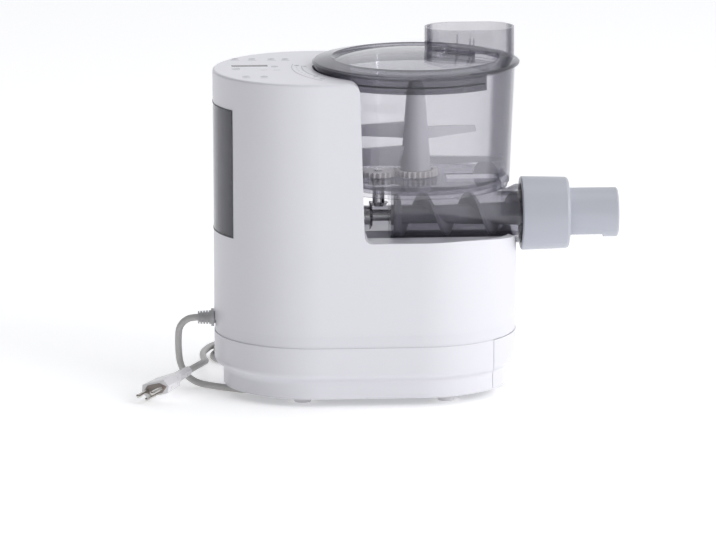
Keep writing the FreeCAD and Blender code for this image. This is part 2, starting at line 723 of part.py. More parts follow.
def mixing_bowl():
    """Clear tapered bowl with a foot ring, the feed slot and the water inlet."""
    floor_top = BOWL_FLOOR_Z + FLOOR_THICK
    wall = BOWL_WALL
    profile = [(0, BOWL_FLOOR_Z), (90.2, BOWL_FLOOR_Z), (90.2, LEDGE_Z + 0.4), (93.2, LEDGE_Z + 0.4),
               (BOWL_FOOT_R, BOWL_FLOOR_Z), (BOWL_RIM_R, BOWL_RIM_Z), (BOWL_RIM_R - wall, BOWL_RIM_Z),
               (BOWL_FOOT_R - wall + 0.2, floor_top + 5), (BOWL_FOOT_R - wall - 5, floor_top), (0, floor_top)]
    bowl = lathe_z(profile)
    slot = block(FEED_X, (-FEED_HALF_Y, FEED_HALF_Y), (BOWL_FLOOR_Z - 5, floor_top + 2))
    bowl = bowl.cut(slot)
    bowl = bowl.cut(rod_z(6.0, (200, 230), IDLER_X, 0)).cut(rod_z(PIVOT_R, (200, 230)))
    bowl = bowl.cut(rod_x(3.0, (-104, -90), NOZZLE_AXIS))
    channel = block((-100, 110), (-BARREL_R - 0.2, BARREL_R + 0.2), (200, BOWL_FLOOR_Z))
    return bowl.cut(channel)


def extruder_barrel():
    """U-shaped screw chamber under the bowl that runs into the round barrel."""
    end_x = BARREL_END_X
    roof = BOWL_FLOOR_Z
    outer = rod_x(BARREL_R, (CHAMBER_X, end_x))
    outer = outer.fuse(block((CHAMBER_X, FEED_X[1] + 4), (-BARREL_R, BARREL_R), (AXIS_Z, roof)))
    boss = lathe_x([(92, 0), (92, BARREL_R), (100, BOSS_R), (end_x, BOSS_R), (end_x, 0)])
    outer = outer.fuse(boss)
    for x in (-10, 9, 40):
        outer = outer.fuse(block((x - 1, x + 1), (-BARREL_R - 3, BARREL_R + 3), (196, roof)))
    inner = rod_x(BARREL_BORE_R, (CHAMBER_X + 3, end_x + 1))
    inner = inner.fuse(block((CHAMBER_X + 3, FEED_X[1]), (-BARREL_BORE_R, BARREL_BORE_R), (AXIS_Z, roof + 1)))
    barrel = outer.cut(inner).cut(rod_x(10.0, (CHAMBER_X - 1, CHAMBER_X + 4)))
    return barrel.removeSplitter()


def screw_bush():
    """Bush and seal of the screw's tail in the chamber's end wall."""
    ring = ring_x(10.0, 6.0 + RUNNING_GAP, (CHAMBER_X, CHAMBER_X + 3))
    return ring


def idler_bush():
    """Bush in the bowl's floor that carries the idler."""
    return fuse_all([ring_z(6.0, PIVOT_R + RUNNING_GAP, (BOWL_FLOOR_Z, BOWL_FLOOR_Z + FLOOR_THICK), IDLER_X),
                     ring_z(7.5, PIVOT_R + RUNNING_GAP, (BOWL_FLOOR_Z - 2, BOWL_FLOOR_Z), IDLER_X)])


def paddle_pivot():
    """Steel pin on the bowl's floor that the mixing paddle turns on."""
    pin = rod_z(PIVOT_R, (BOWL_FLOOR_Z, 286))
    head = Part.makeSphere(PIVOT_R, vec(0, 0, 286))
    return fuse_all([pin, head])


# Screw and mixer drive


def screw_flight():
    """Helical flight with a tapered section, swept along its helix."""
    length = SCREW_X[1] - SCREW_X[0] - FLIGHT_ROOT
    helix = Part.makeHelix(SCREW_PITCH, length, SCREW_R - 6)
    inner_r = SCREW_CORE_R[0] - 2.5
    corners = [vec(inner_r, 0, -FLIGHT_ROOT / 2), vec(SCREW_R, 0, -FLIGHT_TIP / 2),
               vec(SCREW_R, 0, FLIGHT_TIP / 2), vec(inner_r, 0, FLIGHT_ROOT / 2)]
    profile = Part.makePolygon(corners + [corners[0]])
    sweep = Part.BRepOffsetAPI.MakePipeShell(Part.Wire(helix.Edges))
    sweep.setBiNormalMode(vec(0, 0, 1))
    sweep.add(profile)
    sweep.build()
    sweep.makeSolid()
    flight = Part.Solid(sweep.shape())
    flight.rotate(vec(0, 0, 0), vec(0, 1, 0), 90)
    flight.rotate(vec(0, 0, 0), vec(1, 0, 0), FLIGHT_START)
    flight.translate(vec(SCREW_X[0] + FLIGHT_ROOT / 2, 0, AXIS_Z))
    return flight


def auger_screw():
    """Extruder screw: a core that swells towards the outlet, a rear flange and the flight."""
    start, end = SCREW_X
    slim, thick = SCREW_CORE_R
    core = lathe_x([(start - 3, 0), (start - 3, slim), (start + 40, slim), (end, thick),
                    (end + 6, thick - 5), (end + 6, 0)])
    rim = SCREW_R - 0.5
    flange = lathe_x([(start - 3, 0), (start - 3, rim - 1.4), (start - 1, rim), (start + 2, rim),
                      (start + 4.5, rim - 3), (start + 4.5, 0)])
    whole = fuse_all([core, flange, screw_flight()])
    return whole.cut(rod_x(6.0, (start - 4, start + 30)))


def auger_tail():
    """Tail shaft with the bevel wheel and the socket for the drive tongue."""
    bevel_x = IDLER_X
    big, small, far, near = bevel_outlines(BEVEL_AUGER_TEETH, BEVEL_AXIAL[0], BEVEL_AXIAL[1],
                                           math.pi / 2 + math.pi / BEVEL_AUGER_TEETH)
    wheel = ruled_wheel([vec(bevel_x - far, p, AXIS_Z + q) for p, q in big],
                        [vec(bevel_x - near, p, AXIS_Z + q) for p, q in small])
    socket = rod_x(9.5, (-54.6, bevel_x - far))
    shaft = rod_x(6.0, (bevel_x - near, SCREW_X[0] + 30))
    tail = fuse_all([wheel, socket, shaft])
    return tail.cut(block((-56, -48.2), (-3.15, 3.15), (AXIS_Z - 6.8, AXIS_Z + 6.8)))


def idler_gear():
    """Spur idler above the floor."""
    wheel = spur_z(IDLER_TEETH, MIXER_MODULE, (MIX_GEAR_Z[0], MIX_GEAR_Z[1] - 1), IDLER_X, 0.0)
    return wheel.cut(rod_z(PIVOT_R, (200, 230), IDLER_X))


def idler_shaft():
    """Idler's shaft through the floor with the bevel wheel at its foot."""
    big, small, far, near = bevel_outlines(BEVEL_IDLER_TEETH, BEVEL_AXIAL[1], BEVEL_AXIAL[0], math.pi)
    wheel = ruled_wheel([vec(IDLER_X + p, q, AXIS_Z + far) for p, q in big],
                        [vec(IDLER_X + p, q, AXIS_Z + near) for p, q in small])
    collar = rod_z(6.0, (AXIS_Z + far, BOWL_FLOOR_Z - 2.3), IDLER_X)
    shaft = rod_z(PIVOT_R, (AXIS_Z + far, MIX_GEAR_Z[1]), IDLER_X)
    return fuse_all([wheel, collar, shaft])


def paddle_gear():
    """Toothed disc at the paddle's foot."""
    phase = mesh_phase(IDLER_TEETH, 0.0, PADDLE_TEETH, 0.0)
    wheel = spur_z(PADDLE_TEETH, MIXER_MODULE, MIX_GEAR_Z, 0.0, phase)
    dish = ring_z(17, 11, (MIX_GEAR_Z[1] - 1.2, MIX_GEAR_Z[1] + 1))
    return wheel.cut(dish).cut(rod_z(PIVOT_R + RUNNING_GAP, (200, 230)))


def blade(turn, z, reach, root, tip, sweep_back):
    """Return one mixing arm: a flat tapered blade, twisted and swept back."""
    root_h, root_t = root
    tip_h, tip_t = tip
    sections = []
    for x, shift, height, thick, lean in ((4, 0, root_h, root_t, 0.15), (reach * 0.55, sweep_back * 0.3,
                                          (root_h + tip_h) / 2, (root_t + tip_t) / 2, 0.3),
                                          (reach, sweep_back, tip_h, tip_t, 0.5)):
        slant = height * lean
        low_side = shift - slant / 2
        high_side = shift + slant / 2
        corners = [vec(x, low_side - thick / 2, -height / 2), vec(x, low_side + thick / 2, -height / 2),
                   vec(x, high_side + thick / 2, height / 2), vec(x, high_side - thick / 2, height / 2)]
        sections.append(Part.makePolygon(corners + [corners[0]]))
    arm = Part.makeLoft(sections, True, True)
    arm.rotate(vec(0, 0, 0), vec(0, 0, 1), turn)
    arm.translate(vec(0, 0, z))
    return arm


def plough():
    """Pointed arch under the long arm that clears the floor round the feed slot."""
    low = BOWL_FLOOR_Z + FLOOR_THICK + 1
    tip = 231.0
    edges = [arc(vec(57.5, 0, low), vec(61, 0, low + 9.5), vec(70, 0, tip)),
             arc(vec(70, 0, tip), vec(79, 0, low + 9.5), vec(82.5, 0, low)),
             line(vec(82.5, 0, low), vec(57.5, 0, low))]
    fin = Part.Face(Part.Wire(edges)).extrude(vec(0, 3.2, 0))
    fin.translate(vec(0, -1, 0))
    return fin


def mixing_paddle():
    """Conical hub with two upper arms, a long lower arm with its plough and a broad scraper."""
    low = MIX_GEAR_Z[1]
    hub = lathe_z([(0, low), (15.5, low), (14.6, low + 10), (12.2, 262), (8.6, 306), (6.0, 311), (0, 312)])
    arms = [blade(176, 262, 82, (17, 7), (9, 3), 10), blade(28, 258, 66, (12, 6), (6, 3), -6),
            blade(-3, 231, 87, (8, 8), (4, 4), 6), blade(192, 236, 84, (21, 7), (17, 3), -12)]
    paddle = fuse_all([hub, plough()] + arms)
    return paddle.cut(rod_z(PIVOT_R + RUNNING_GAP, (200, 291)))


# Lid and fill chute

def oval(half_x, half_y, z_range):
    """Return a rounded upright prism of the chute's plan."""
    x, y = CHUTE_CENTRE
    reach = half_x - half_y
    prism = rod_z(half_y, z_range, x - reach, y).fuse(rod_z(half_y, z_range, x + reach, y))
    return prism.fuse(block((x - reach, x + reach), (y - half_y, y + half_y), z_range)).removeSplitter()


def dome_arc(crown_z, edge_z):
    """Return the dome's arc, level at the axis, from there to its edge."""
    height = crown_z - edge_z
    radius = (DOME_REACH ** 2 + height ** 2) / (2 * height)
    half = DOME_REACH / 2
    drop = radius - math.sqrt(radius ** 2 - half ** 2)
    return arc(vec(0, 0, crown_z), vec(half, 0, crown_z - drop), vec(DOME_REACH, 0, edge_z))


def lid_plate():
    """Domed lid with its bevelled ring, the locking skirt and the chute's hole."""
    z = LID_Z
    top = dome_arc(z + 3.0 + LID_DOME, z + 3.0)
    edges = [top, line(vec(DOME_REACH, 0, z + 3.0), vec(84, 0, z + 6.0)), line(vec(84, 0, z + 6.0), vec(101, 0, z + 2.8)),
             line(vec(101, 0, z + 2.8), vec(LID_R, 0, z + 1.2)), line(vec(LID_R, 0, z + 1.2), vec(LID_R, 0, z)),
             line(vec(LID_R, 0, z), vec(90, 0, z)), line(vec(90, 0, z), vec(DOME_REACH, 0, z + 0.5)),
             dome_arc(z + 0.5 + LID_DOME, z + 0.5),
             line(vec(0, 0, z + 0.5 + LID_DOME), vec(0, 0, z + 3.0 + LID_DOME))]
    lid = Part.Face(Part.Wire(edges)).revolve(vec(0, 0, 0), vec(0, 0, 1), 360)
    skirt = ring_z(SKIRT_OUT_R, SKIRT_IN_R, (SKIRT_Z, z + 0.5))
    bead = ring_z(SKIRT_OUT_R + 0.8, SKIRT_IN_R, (SKIRT_Z, SKIRT_Z + 2.5))
    skirt = skirt.fuse(bead).cut(block((65, 120), (-120, 120), (300, z)))
    for x in (-39, 12):
        lug = block((x - 3, x + 3), (-SKIRT_OUT_R - 2, -80), (SKIRT_Z + 4, SKIRT_Z + 7))
        skirt = skirt.fuse(lug.common(ring_z(SKIRT_OUT_R + 0.8, SKIRT_IN_R + 1, (SKIRT_Z, z))))
    hole = oval(CHUTE_HALF[0] - CHUTE_WALL, CHUTE_HALF[1] - CHUTE_WALL, (300, 400)).common(rod_z(95, (300, 400)))
    return fuse_all([lid.cut(hole), skirt])


def fill_chute():
    """Oval fill chute with two inner ribs and a pointed gusset."""
    low = LID_Z + 6.2
    wall = oval(CHUTE_HALF[0], CHUTE_HALF[1], (LID_Z, CHUTE_TOP_Z))
    wall = wall.cut(oval(CHUTE_HALF[0] - CHUTE_WALL, CHUTE_HALF[1] - CHUTE_WALL, (300, 400)))
    near_y = CHUTE_CENTRE[1] - CHUTE_HALF[1]
    ribs = [block((x - 0.8, x + 0.8), (near_y + 1, near_y + 5), (low, CHUTE_TOP_Z - 3)) for x in (42, 54.5)]
    gusset_points = [vec(72, near_y + 1, low), vec(83, near_y + 1, low), vec(77.5, near_y + 1, low + 21)]
    gusset = closed_face(gusset_points).extrude(vec(0, 4, 0))
    chute = fuse_all([wall] + ribs + [gusset])
    return chute.cut(lid_plate())


def lid_seal():
    """Soft ring under the lid, inside the bowl's rim."""
    z = LID_Z
    return ring_z(95.7, 92.2, (z - 3.5, z))


# Outlet, die and lock nut

def outlet_tube():
    """Outlet tube with a flange behind the nut and a window under its end."""
    start = BARREL_END_X + 0.3
    end = OUTLET_END_X
    tube = lathe_x([(start, 0), (start, 29.6), (start + 4.5, 29.6), (start + 4.5, OUTLET_R), (end - 1.5, OUTLET_R - 0.2),
                    (end, OUTLET_R - 1.8), (end, 0)])
    tube = tube.cut(rod_x(BARREL_BORE_R, (start - 1, end + 1)))
    window = block((154.5, 188), (-30, 30), (AXIS_Z - 30, AXIS_Z - 20))
    return tube.cut(window)


def die_shell():
    """Half-round die with a row of slots that the dough is pressed down through."""
    shell = ring_x(22.2, 19.8, (156, 188))
    shell = shell.cut(block((150, 200), (-30, 30), (AXIS_Z - 6, AXIS_Z + 30)))
    flange = ring_x(22.2, 14, (186, 188)).cut(block((150, 200), (-30, 30), (AXIS_Z - 6, AXIS_Z + 30)))
    shell = shell.fuse(flange)
    for row in range(5):
        x = 161 + 5 * row
        slot = ring_x(24, 18, (x, x + 1.6)).common(block((150, 190), (-7, 7), (AXIS_Z - 30, AXIS_Z)))
        shell = shell.cut(slot)
    return shell.removeSplitter()


def die_plug():
    """Round plug that closes the tube's end behind the die, with its pull ring."""
    plug = lathe_x([(189, 0), (189, 21.2), (192, 22.2), (197, 22.2), (197, 0)])
    ring = ring_x(9, 6.5, (196.5, 199.5))
    return fuse_all([plug, ring])


def lock_nut():
    """Lock nut with a rear chamfer, a rounded front edge and the inner shoulder."""
    start, end = NUT_X
    back_r, front_r = NUT_R
    shoulder = BARREL_END_X + 5.3
    edges = [(start, 30.2), (start, back_r - 1.2), (start + 1.2, back_r), (end - 3, front_r + 0.1), (end - 0.9, front_r - 0.9),
             (end, front_r - 3), (end, OUTLET_R + 0.3), (end - 5, OUTLET_R + 0.3), (end - 7, 31), (shoulder + 4, 31),
             (shoulder + 3, OUTLET_R + 0.3), (shoulder, OUTLET_R + 0.3), (shoulder, 30.2)]
    return lathe_x(edges)


# Storage drawer

def drawer_front():
    """Front end of the base: the drawer's curved face with a finger notch below."""
    low = FLOOR_CLEAR
    high = BASE_TOP_Z - 0.4
    face = base_body(0, (low, high)).cut(base_body(WALL, (low + WALL, high - WALL)))
    face = face.common(block((DRAWER_X + 0.4, 120), (-120, 120), (0, 80)))
    back = base_body(WALL, (low + WALL, high - WALL)).common(block((DRAWER_X + 0.4, DRAWER_X + 2.4), (-120, 120), (0, 80)))
    notch = Part.makeCylinder(22, 10, vec(99, 0, 2), vec(0, 0, 1))
    return fuse_all([face, back]).cut(notch)


def drawer_tray():
    """Open tray behind the drawer's face with two dividers."""
    outer = block((TRAY_BACK_X + 1, DRAWER_X + 0.4), (-TRAY_HALF_Y, TRAY_HALF_Y), TRAY_Z)
    inner = block((TRAY_BACK_X + 3, DRAWER_X - 1.6), (-TRAY_HALF_Y + 2, TRAY_HALF_Y - 2), (TRAY_Z[0] + 2, TRAY_Z[1] + 1))
    tray = outer.cut(inner)
    divider = block((TRAY_BACK_X + 3, DRAWER_X - 1.6), (-0.8, 0.8), (TRAY_Z[0] + 1, TRAY_Z[1] - 20))
    return fuse_all([tray, divider])


# Mains lead

def rounded_tube(points, radius):
    """Return a tube of straight runs joined by tangent arcs, its bend radii and length."""
    spots = [vec(*p) for p in points]
    edges = []
    radii = []
    start = spots[0]
    for before, here, after in zip(spots, spots[1:], spots[2:]):
        into = (here - before).normalize()
        out = (after - here).normalize()
        shorter = min((here - before).Length, (after - here).Length)
        turn = math.acos(max(-1.0, min(1.0, into.dot(out))))
        setback = 0.45 * shorter
        radii.append(setback / math.tan(turn / 2))
        first = here - into * setback
        last = here + out * setback
        middle_pull = (radii[-1] / math.cos(turn / 2) - radii[-1])
        inward = (last - here + first - here).normalize()
        edges.append(line(start, first))
        edges.append(arc(first, here + inward * middle_pull, last))
        start = last
    edges.append(line(start, spots[-1]))
    path = Part.Wire(edges)
    ring = Part.Wire([Part.makeCircle(radius, spots[0], spots[1] - spots[0])])
    tube = path.makePipeShell([ring], True, False)
    return tube, radii, path.Length


def biarc(start, start_dir, end, end_dir):
    """Return two tangent arcs between two places and directions."""
    gap = end - start
    total = start_dir + end_dir
    a = 2 * (1 - start_dir.dot(end_dir))
    b = 2 * gap.dot(total)
    reach = (-b + math.sqrt(b * b + 4 * a * gap.dot(gap))) / (2 * a)
    joint = (start + end + (start_dir - end_dir) * reach) / 2
    edges = []
    for first, last, knee in ((start, joint, start + start_dir * reach), (joint, end, end - end_dir * reach)):
        chord_mid = (first + last) / 2
        half = (last - first).Length / 2
        rise = (knee - chord_mid).Length
        radius = half * reach / rise
        bulge = radius - math.sqrt(max(radius * radius - half * half, 0.0))
        edges.append(arc(first, chord_mid + (knee - chord_mid).normalize() * bulge, last))
    return edges


def coil_place(turns):
    """Return the coil's centre-line place after a number of turns, in and out again."""
    angle = 2 * math.pi * turns
    half = COIL_TURNS / 2
    radius = COIL_OUT_R - COIL_STEP * (half - abs(turns - half))
    climb = min(max((turns - half + 0.25) / 0.5, 0.0), 1.0)
    return vec(COIL_CENTRE[0] + radius * math.cos(angle), COIL_CENTRE[1] + radius * math.sin(angle),
               CORD_FLOOR_Z + COIL_RISE * climb)


def coil_tube():
    """Return the coil's tube, its centre-line points and its end places and directions."""
    stops = [COIL_TURNS * k / COIL_STEPS for k in range(COIL_STEPS + 1)]
    places = [coil_place(stop) for stop in stops]
    dirs = [(coil_place(stop + 0.004) - coil_place(stop - 0.004)).normalize() for stop in stops]
    lead_in = places[0] - dirs[0] * (2 * CORD_R)
    lead_out = places[-1] + dirs[-1] * (2 * CORD_R)
    edges = [line(lead_in, places[0])]
    for start, start_dir, end, end_dir in zip(places, dirs, places[1:], dirs[1:]):
        edges += biarc(start, start_dir, end, end_dir)
    edges.append(line(places[-1], lead_out))
    path = Part.Wire(edges)
    ring = Part.Wire([Part.makeCircle(CORD_R, lead_in, dirs[0])])
    tube = path.makePipeShell([ring], True, False)
    samples = path.discretize(600)
    gap = least_gap(samples, path.Length)
    print(f"coil: length {path.Length:.1f} mm, least gap to itself {gap:.2f} mm")
    return tube, lead_in, dirs[0], lead_out, dirs[-1], path.Length


def least_gap(samples, length):
    """Return the least free gap between turns that are not neighbours along the line."""
    step = length / (len(samples) - 1)
    skip = int(40 / step)
    least = 1e9
    for index, place in enumerate(samples):
        for other in samples[index + skip:]:
            least = min(least, (place - other).Length)
    return least - 2 * CORD_R


def strain_relief():
    """Tapered, grooved grommet clamped between the housing and the waist band."""
    profile = [(-219, 3.5), (-219, 6.2)]
    for index in range(4):
        x = -217.6 + 2.9 * index
        radius = 6.5 + 0.15 * index
        profile += [(x, radius), (x, radius - 1.8), (x + 1.1, radius - 1.8), (x + 1.1, radius)]
    profile += [(-205.6, 7.0), (-205.6, 9.0), (-203.0, 9.0), (-203.0, 6.1), (-196, 6.1), (-196, 8.5), (-192, 8.0),
                (-192, 3.5)]
    return lathe_x(profile, RELIEF_AXIS)


def plug_pose():
    """Return the placement of the plug: its length along X, its width along Y."""
    along = vec(*PLUG_DIR).normalize()
    level = along.cross(vec(0, 0, 1)).normalize()
    across = FreeCAD.Rotation(along, PLUG_ROLL).multVec(level)
    turn = Rotation(along, across, along.cross(across), "XYZ")
    return FreeCAD.Placement(vec(*PLUG_TAIL), turn)


def plug_section(x, width, thick):
    """Return one six-sided section of the plug."""
    side = width / 2
    slope = min(4.0, width / 3)
    flat = thick / 2
    corners = [vec(x, -side, 0), vec(x, slope - side, flat), vec(x, side - slope, flat), vec(x, side, 0),
               vec(x, side - slope, -flat), vec(x, slope - side, -flat)]
    return Part.makePolygon(corners + [corners[0]])


def mains_plug():
    """Three-pin plug body with its narrow tail."""
    sections = [plug_section(0, 9.6, 9.0), plug_section(20, 12.5, 10.5), plug_section(35, 33, 13),
                plug_section(PLUG_LENGTH, 36, 14)]
    body = Part.makeLoft(sections, True, True)
    body.Placement = plug_pose()
    return body


def plug_pins():
    """Two round contacts and the offset earth pin."""
    pins = []
    for across, lift in ((-9.5, 0.0), (9.5, 0.0), (0.0, 5.0)):
        pin = Part.makeCylinder(PIN_R, PIN_LENGTH - PIN_R / 2, vec(PLUG_LENGTH, across, lift), vec(1, 0, 0))
        tip = Part.makeCone(PIN_R, PIN_R / 2, PIN_R / 2, vec(PLUG_LENGTH + PIN_LENGTH - PIN_R / 2, across, lift),
                            vec(1, 0, 0))
        pins.append(fuse_all([pin, tip]))
    group = Part.makeCompound(pins)
    group.Placement = plug_pose()
    return group


def report_tube(name, tube, radii, length):
    """Print a tube's least bend radius and compare its volume with section times length."""
    expected = math.pi * CORD_R ** 2 * length
    rounded = " ".join(f"{radius:.0f}" for radius in radii)
    print(f"{name}: length {length:.1f} mm, volume {tube.Volume:.0f} of {expected:.0f} mm3, radii {rounded}")


def mains_cords():
    """Return the lead, the coil and the plug's tail cord as name and shape pairs."""
    coil, lead_in, in_dir, lead_out, out_dir, coil_length = coil_tube()
    lead_points = LEAD_ROUTE + [tuple(lead_in - in_dir * 17), tuple(lead_in)]
    lead, lead_radii, lead_length = rounded_tube(lead_points, CORD_R)
    plug_along = vec(*PLUG_DIR).normalize()
    approach = vec(*PLUG_TAIL) - plug_along * 18
    first = lead_out + out_dir * 16
    tail_points = [tuple(lead_out), tuple(first)] + TAIL_ROUTE + [tuple(approach), PLUG_TAIL]
    tail, tail_radii, tail_length = rounded_tube(tail_points, CORD_R)
    report_tube("mains_cord_lead", lead, lead_radii, lead_length)
    report_tube("mains_cord_tail", tail, tail_radii, tail_length)
    report_tube("mains_cord_coil", coil, [], coil_length)
    print(f"cord length in all {lead_length + coil_length + tail_length:.0f} mm")
    print("tail route", [tuple(round(c, 1) for c in point) for point in tail_points])
    print("lead end", tuple(round(c, 1) for c in lead_in), "direction", tuple(round(c, 3) for c in in_dir))
    return [("mains_cord_lead", lead), ("mains_cord_coil", coil), ("mains_cord_tail", tail)]


def build():
    """Make every sub-part and write its file."""
    os.makedirs("parts", exist_ok=True)
    spots_z = (FLOOR_CLEAR - 1.5, FLOOR_CLEAR + 9)
    makers = [
        ("base_shell", base_shell), ("bottom_plate", bottom_plate), ("feet", feet),
        ("bottom_screws", lambda: screws(SCREW_SPOTS, spots_z, 1.9, 3.4)),
        ("waist_band", waist_band), ("chassis_plate", chassis_plate), ("main_housing", main_housing),
        ("display_window", lambda: display_solid(0.05)), ("control_board", control_board),
        ("power_board", power_board), ("tank_bay", tank_bay), ("water_pump", water_pump),
        ("water_hoses", water_hoses), ("water_nozzle", water_nozzle),
        ("motor_can", motor_can), ("motor_end_cap", motor_end_cap), ("motor_bracket", motor_bracket),
        ("gearbox_case", gearbox_case), ("gearbox_cover", gearbox_cover),
        ("shaft_bearings", shaft_bearings), ("drive_seal", drive_seal),
        ("motor_rotor", motor_rotor), ("motor_shaft", motor_shaft), ("lay_gear", lay_gear),
        ("output_gear", output_gear), ("output_shaft", output_shaft),
        ("mixing_bowl", mixing_bowl), ("extruder_barrel", extruder_barrel), ("screw_bush", screw_bush),
        ("idler_bush", idler_bush), ("paddle_pivot", paddle_pivot),
        ("auger_screw", auger_screw), ("auger_tail", auger_tail),
        ("idler_gear", idler_gear), ("idler_shaft", idler_shaft),
        ("paddle_gear", paddle_gear), ("mixing_paddle", mixing_paddle),
        ("bowl_lid", lid_plate), ("fill_chute", fill_chute), ("lid_seal", lid_seal),
        ("outlet_tube", outlet_tube), ("die_shell", die_shell), ("die_plug", die_plug), ("lock_nut", lock_nut),
        ("tank_shell", tank_shell), ("tank_lid", tank_lid), ("tank_valve", tank_valve),
        ("drawer_front", drawer_front), ("drawer_tray", drawer_tray),
        ("strain_relief", strain_relief), ("mains_plug", mains_plug), ("plug_pins", plug_pins),
    ]
    for name, maker in makers:
        save(name, maker())
    for name, shape in mains_cords():
        save(name, shape)


if __name__ == "__main__":
    build()
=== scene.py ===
import logging
import math
from collections.abc import Callable
from dataclasses import dataclass, field
from enum import Enum

import bmesh
import bpy
from mathutils import Matrix, Quaternion, Vector


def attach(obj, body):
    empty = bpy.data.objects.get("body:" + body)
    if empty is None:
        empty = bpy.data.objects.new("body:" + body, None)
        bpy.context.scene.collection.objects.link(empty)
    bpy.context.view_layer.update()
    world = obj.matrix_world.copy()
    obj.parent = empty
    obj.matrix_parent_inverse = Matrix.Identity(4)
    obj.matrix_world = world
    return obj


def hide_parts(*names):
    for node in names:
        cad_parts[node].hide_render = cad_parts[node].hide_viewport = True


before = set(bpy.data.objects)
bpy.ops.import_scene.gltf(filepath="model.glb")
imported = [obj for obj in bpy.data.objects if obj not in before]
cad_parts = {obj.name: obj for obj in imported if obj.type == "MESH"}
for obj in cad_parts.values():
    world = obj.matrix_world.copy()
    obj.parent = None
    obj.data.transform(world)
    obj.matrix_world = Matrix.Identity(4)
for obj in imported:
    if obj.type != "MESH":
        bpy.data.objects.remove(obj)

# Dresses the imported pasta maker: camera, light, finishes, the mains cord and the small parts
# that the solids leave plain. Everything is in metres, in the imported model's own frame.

LOG = logging.getLogger("pasta_maker")
MM = 0.001
SMOOTH_DEG = 35.0       # edges flatter than this are shaded smooth
MERGE = 0.002 * MM      # doubles nearer than this are merged
LEAD_IN = 0.02          # length of a swept bar's starting slice, as a share of a segment
Point = tuple[float, float, float]
Colour = tuple[float, float, float]


# Shader building

class Val:
    """A shader socket that takes Python arithmetic, each step adding one Math node."""

    def __init__(self, shader: "Shader", socket: bpy.types.NodeSocket) -> None:
        """Keep the shader that new Math nodes go to, and the socket."""
        self.shader = shader
        self.socket = socket

    def _math(self, operation: str, first: "Val | float", second: "Val | float") -> "Val":
        """Add one Math node.

        Args:
            operation: The Math node's operation.
            first: Its first value.
            second: Its second value.

        Returns:
            The node's output.
        """
        made = self.shader.node("ShaderNodeMath", {"operation": operation}, {0: first, 1: second})
        return Val(self.shader, made.outputs[0])

    def __add__(self, other: "Val | float") -> "Val":
        """Return self + other."""
        return self._math("ADD", self, other)

    def __radd__(self, other: float) -> "Val":
        """Return other + self."""
        return self._math("ADD", other, self)

    def __sub__(self, other: "Val | float") -> "Val":
        """Return self - other."""
        return self._math("SUBTRACT", self, other)

    def __rsub__(self, other: float) -> "Val":
        """Return other - self."""
        return self._math("SUBTRACT", other, self)

    def __mul__(self, other: "Val | float") -> "Val":
        """Return self * other."""
        return self._math("MULTIPLY", self, other)

    def __rmul__(self, other: float) -> "Val":
        """Return other * self."""
        return self._math("MULTIPLY", other, self)

    def __pow__(self, other: "Val | float") -> "Val":
        """Return self ** other."""
        return self._math("POWER", self, other)

class Shader:
    """One node material while it is being built."""

    def __init__(self, name: str) -> None:
        """Make an empty node material with that name."""
        self.material = bpy.data.materials.new(name)
        self.material.use_nodes = True
        self.tree = self.material.node_tree
        self.tree.nodes.clear()

    def node(self, kind: str, settings: dict | None = None,
             values: dict | None = None) -> bpy.types.Node:
        """Add a node.

        Args:
            kind: The node's type.
            settings: Its own settings, set first.
            values: Numbers, colours or Val links by input socket.

        Returns:
            The new node.
        """
        made = self.tree.nodes.new(kind)
        for key, setting in (settings or {}).items():
            setattr(made, key, setting)
        for key, value in (values or {}).items():
            socket = made.inputs[key]
            if isinstance(value, Val):
                self.tree.links.new(value.socket, socket)
            else:
                socket.default_value = value
        return made

    def coords(self, scale: Point = (1.0, 1.0, 1.0)) -> Val:
        """Read the piece's Object coordinates.

        Args:
            scale: How much they are scaled along each axis.

        Returns:
            The scaled coordinates.
        """
        place = Val(self, self.node("ShaderNodeTexCoord").outputs["Object"])
        mapped = self.node("ShaderNodeMapping", None, {"Vector": place, "Scale": scale})
        return Val(self, mapped.outputs[0])

    def noise(self, place: Val, scale: float, detail: float = 2.0, rough: float = 0.5) -> Val:
        """Return a noise pattern's value.

        Args:
            place: The coordinates that it reads.
            scale: Its scale, in features per metre.
            detail: Its octaves.
            rough: How strong the finer octaves are.

        Returns:
            The noise, from 0 to 1.
        """
        made = self.node("ShaderNodeTexNoise", None,
                         {"Vector": place, "Scale": scale, "Detail": detail, "Roughness": rough})
        return Val(self, made.outputs["Fac"])

    def blend(self, mask: Val, low: Colour, high: Colour) -> Val:
        """Return a colour between low, where mask is 0, and high, where it is 1."""
        made = self.node("ShaderNodeMix", {"data_type": "RGBA"},
                         {0: mask, 6: (*low, 1.0), 7: (*high, 1.0)})
        return Val(self, made.outputs[2])

    def bump(self, height: Val, depth: float) -> Val:
        """Return the normal of a surface with that height pattern, depth in metres."""
        made = self.node("ShaderNodeBump", None, {"Height": height, "Distance": depth})
        return Val(self, made.outputs["Normal"])

    def finish(self, surface: Val) -> bpy.types.Material:
        """Connect the surface to the output and return the material."""
        out = self.node("ShaderNodeOutputMaterial")
        self.tree.links.new(surface.socket, out.inputs["Surface"])
        return self.material


# Finishes

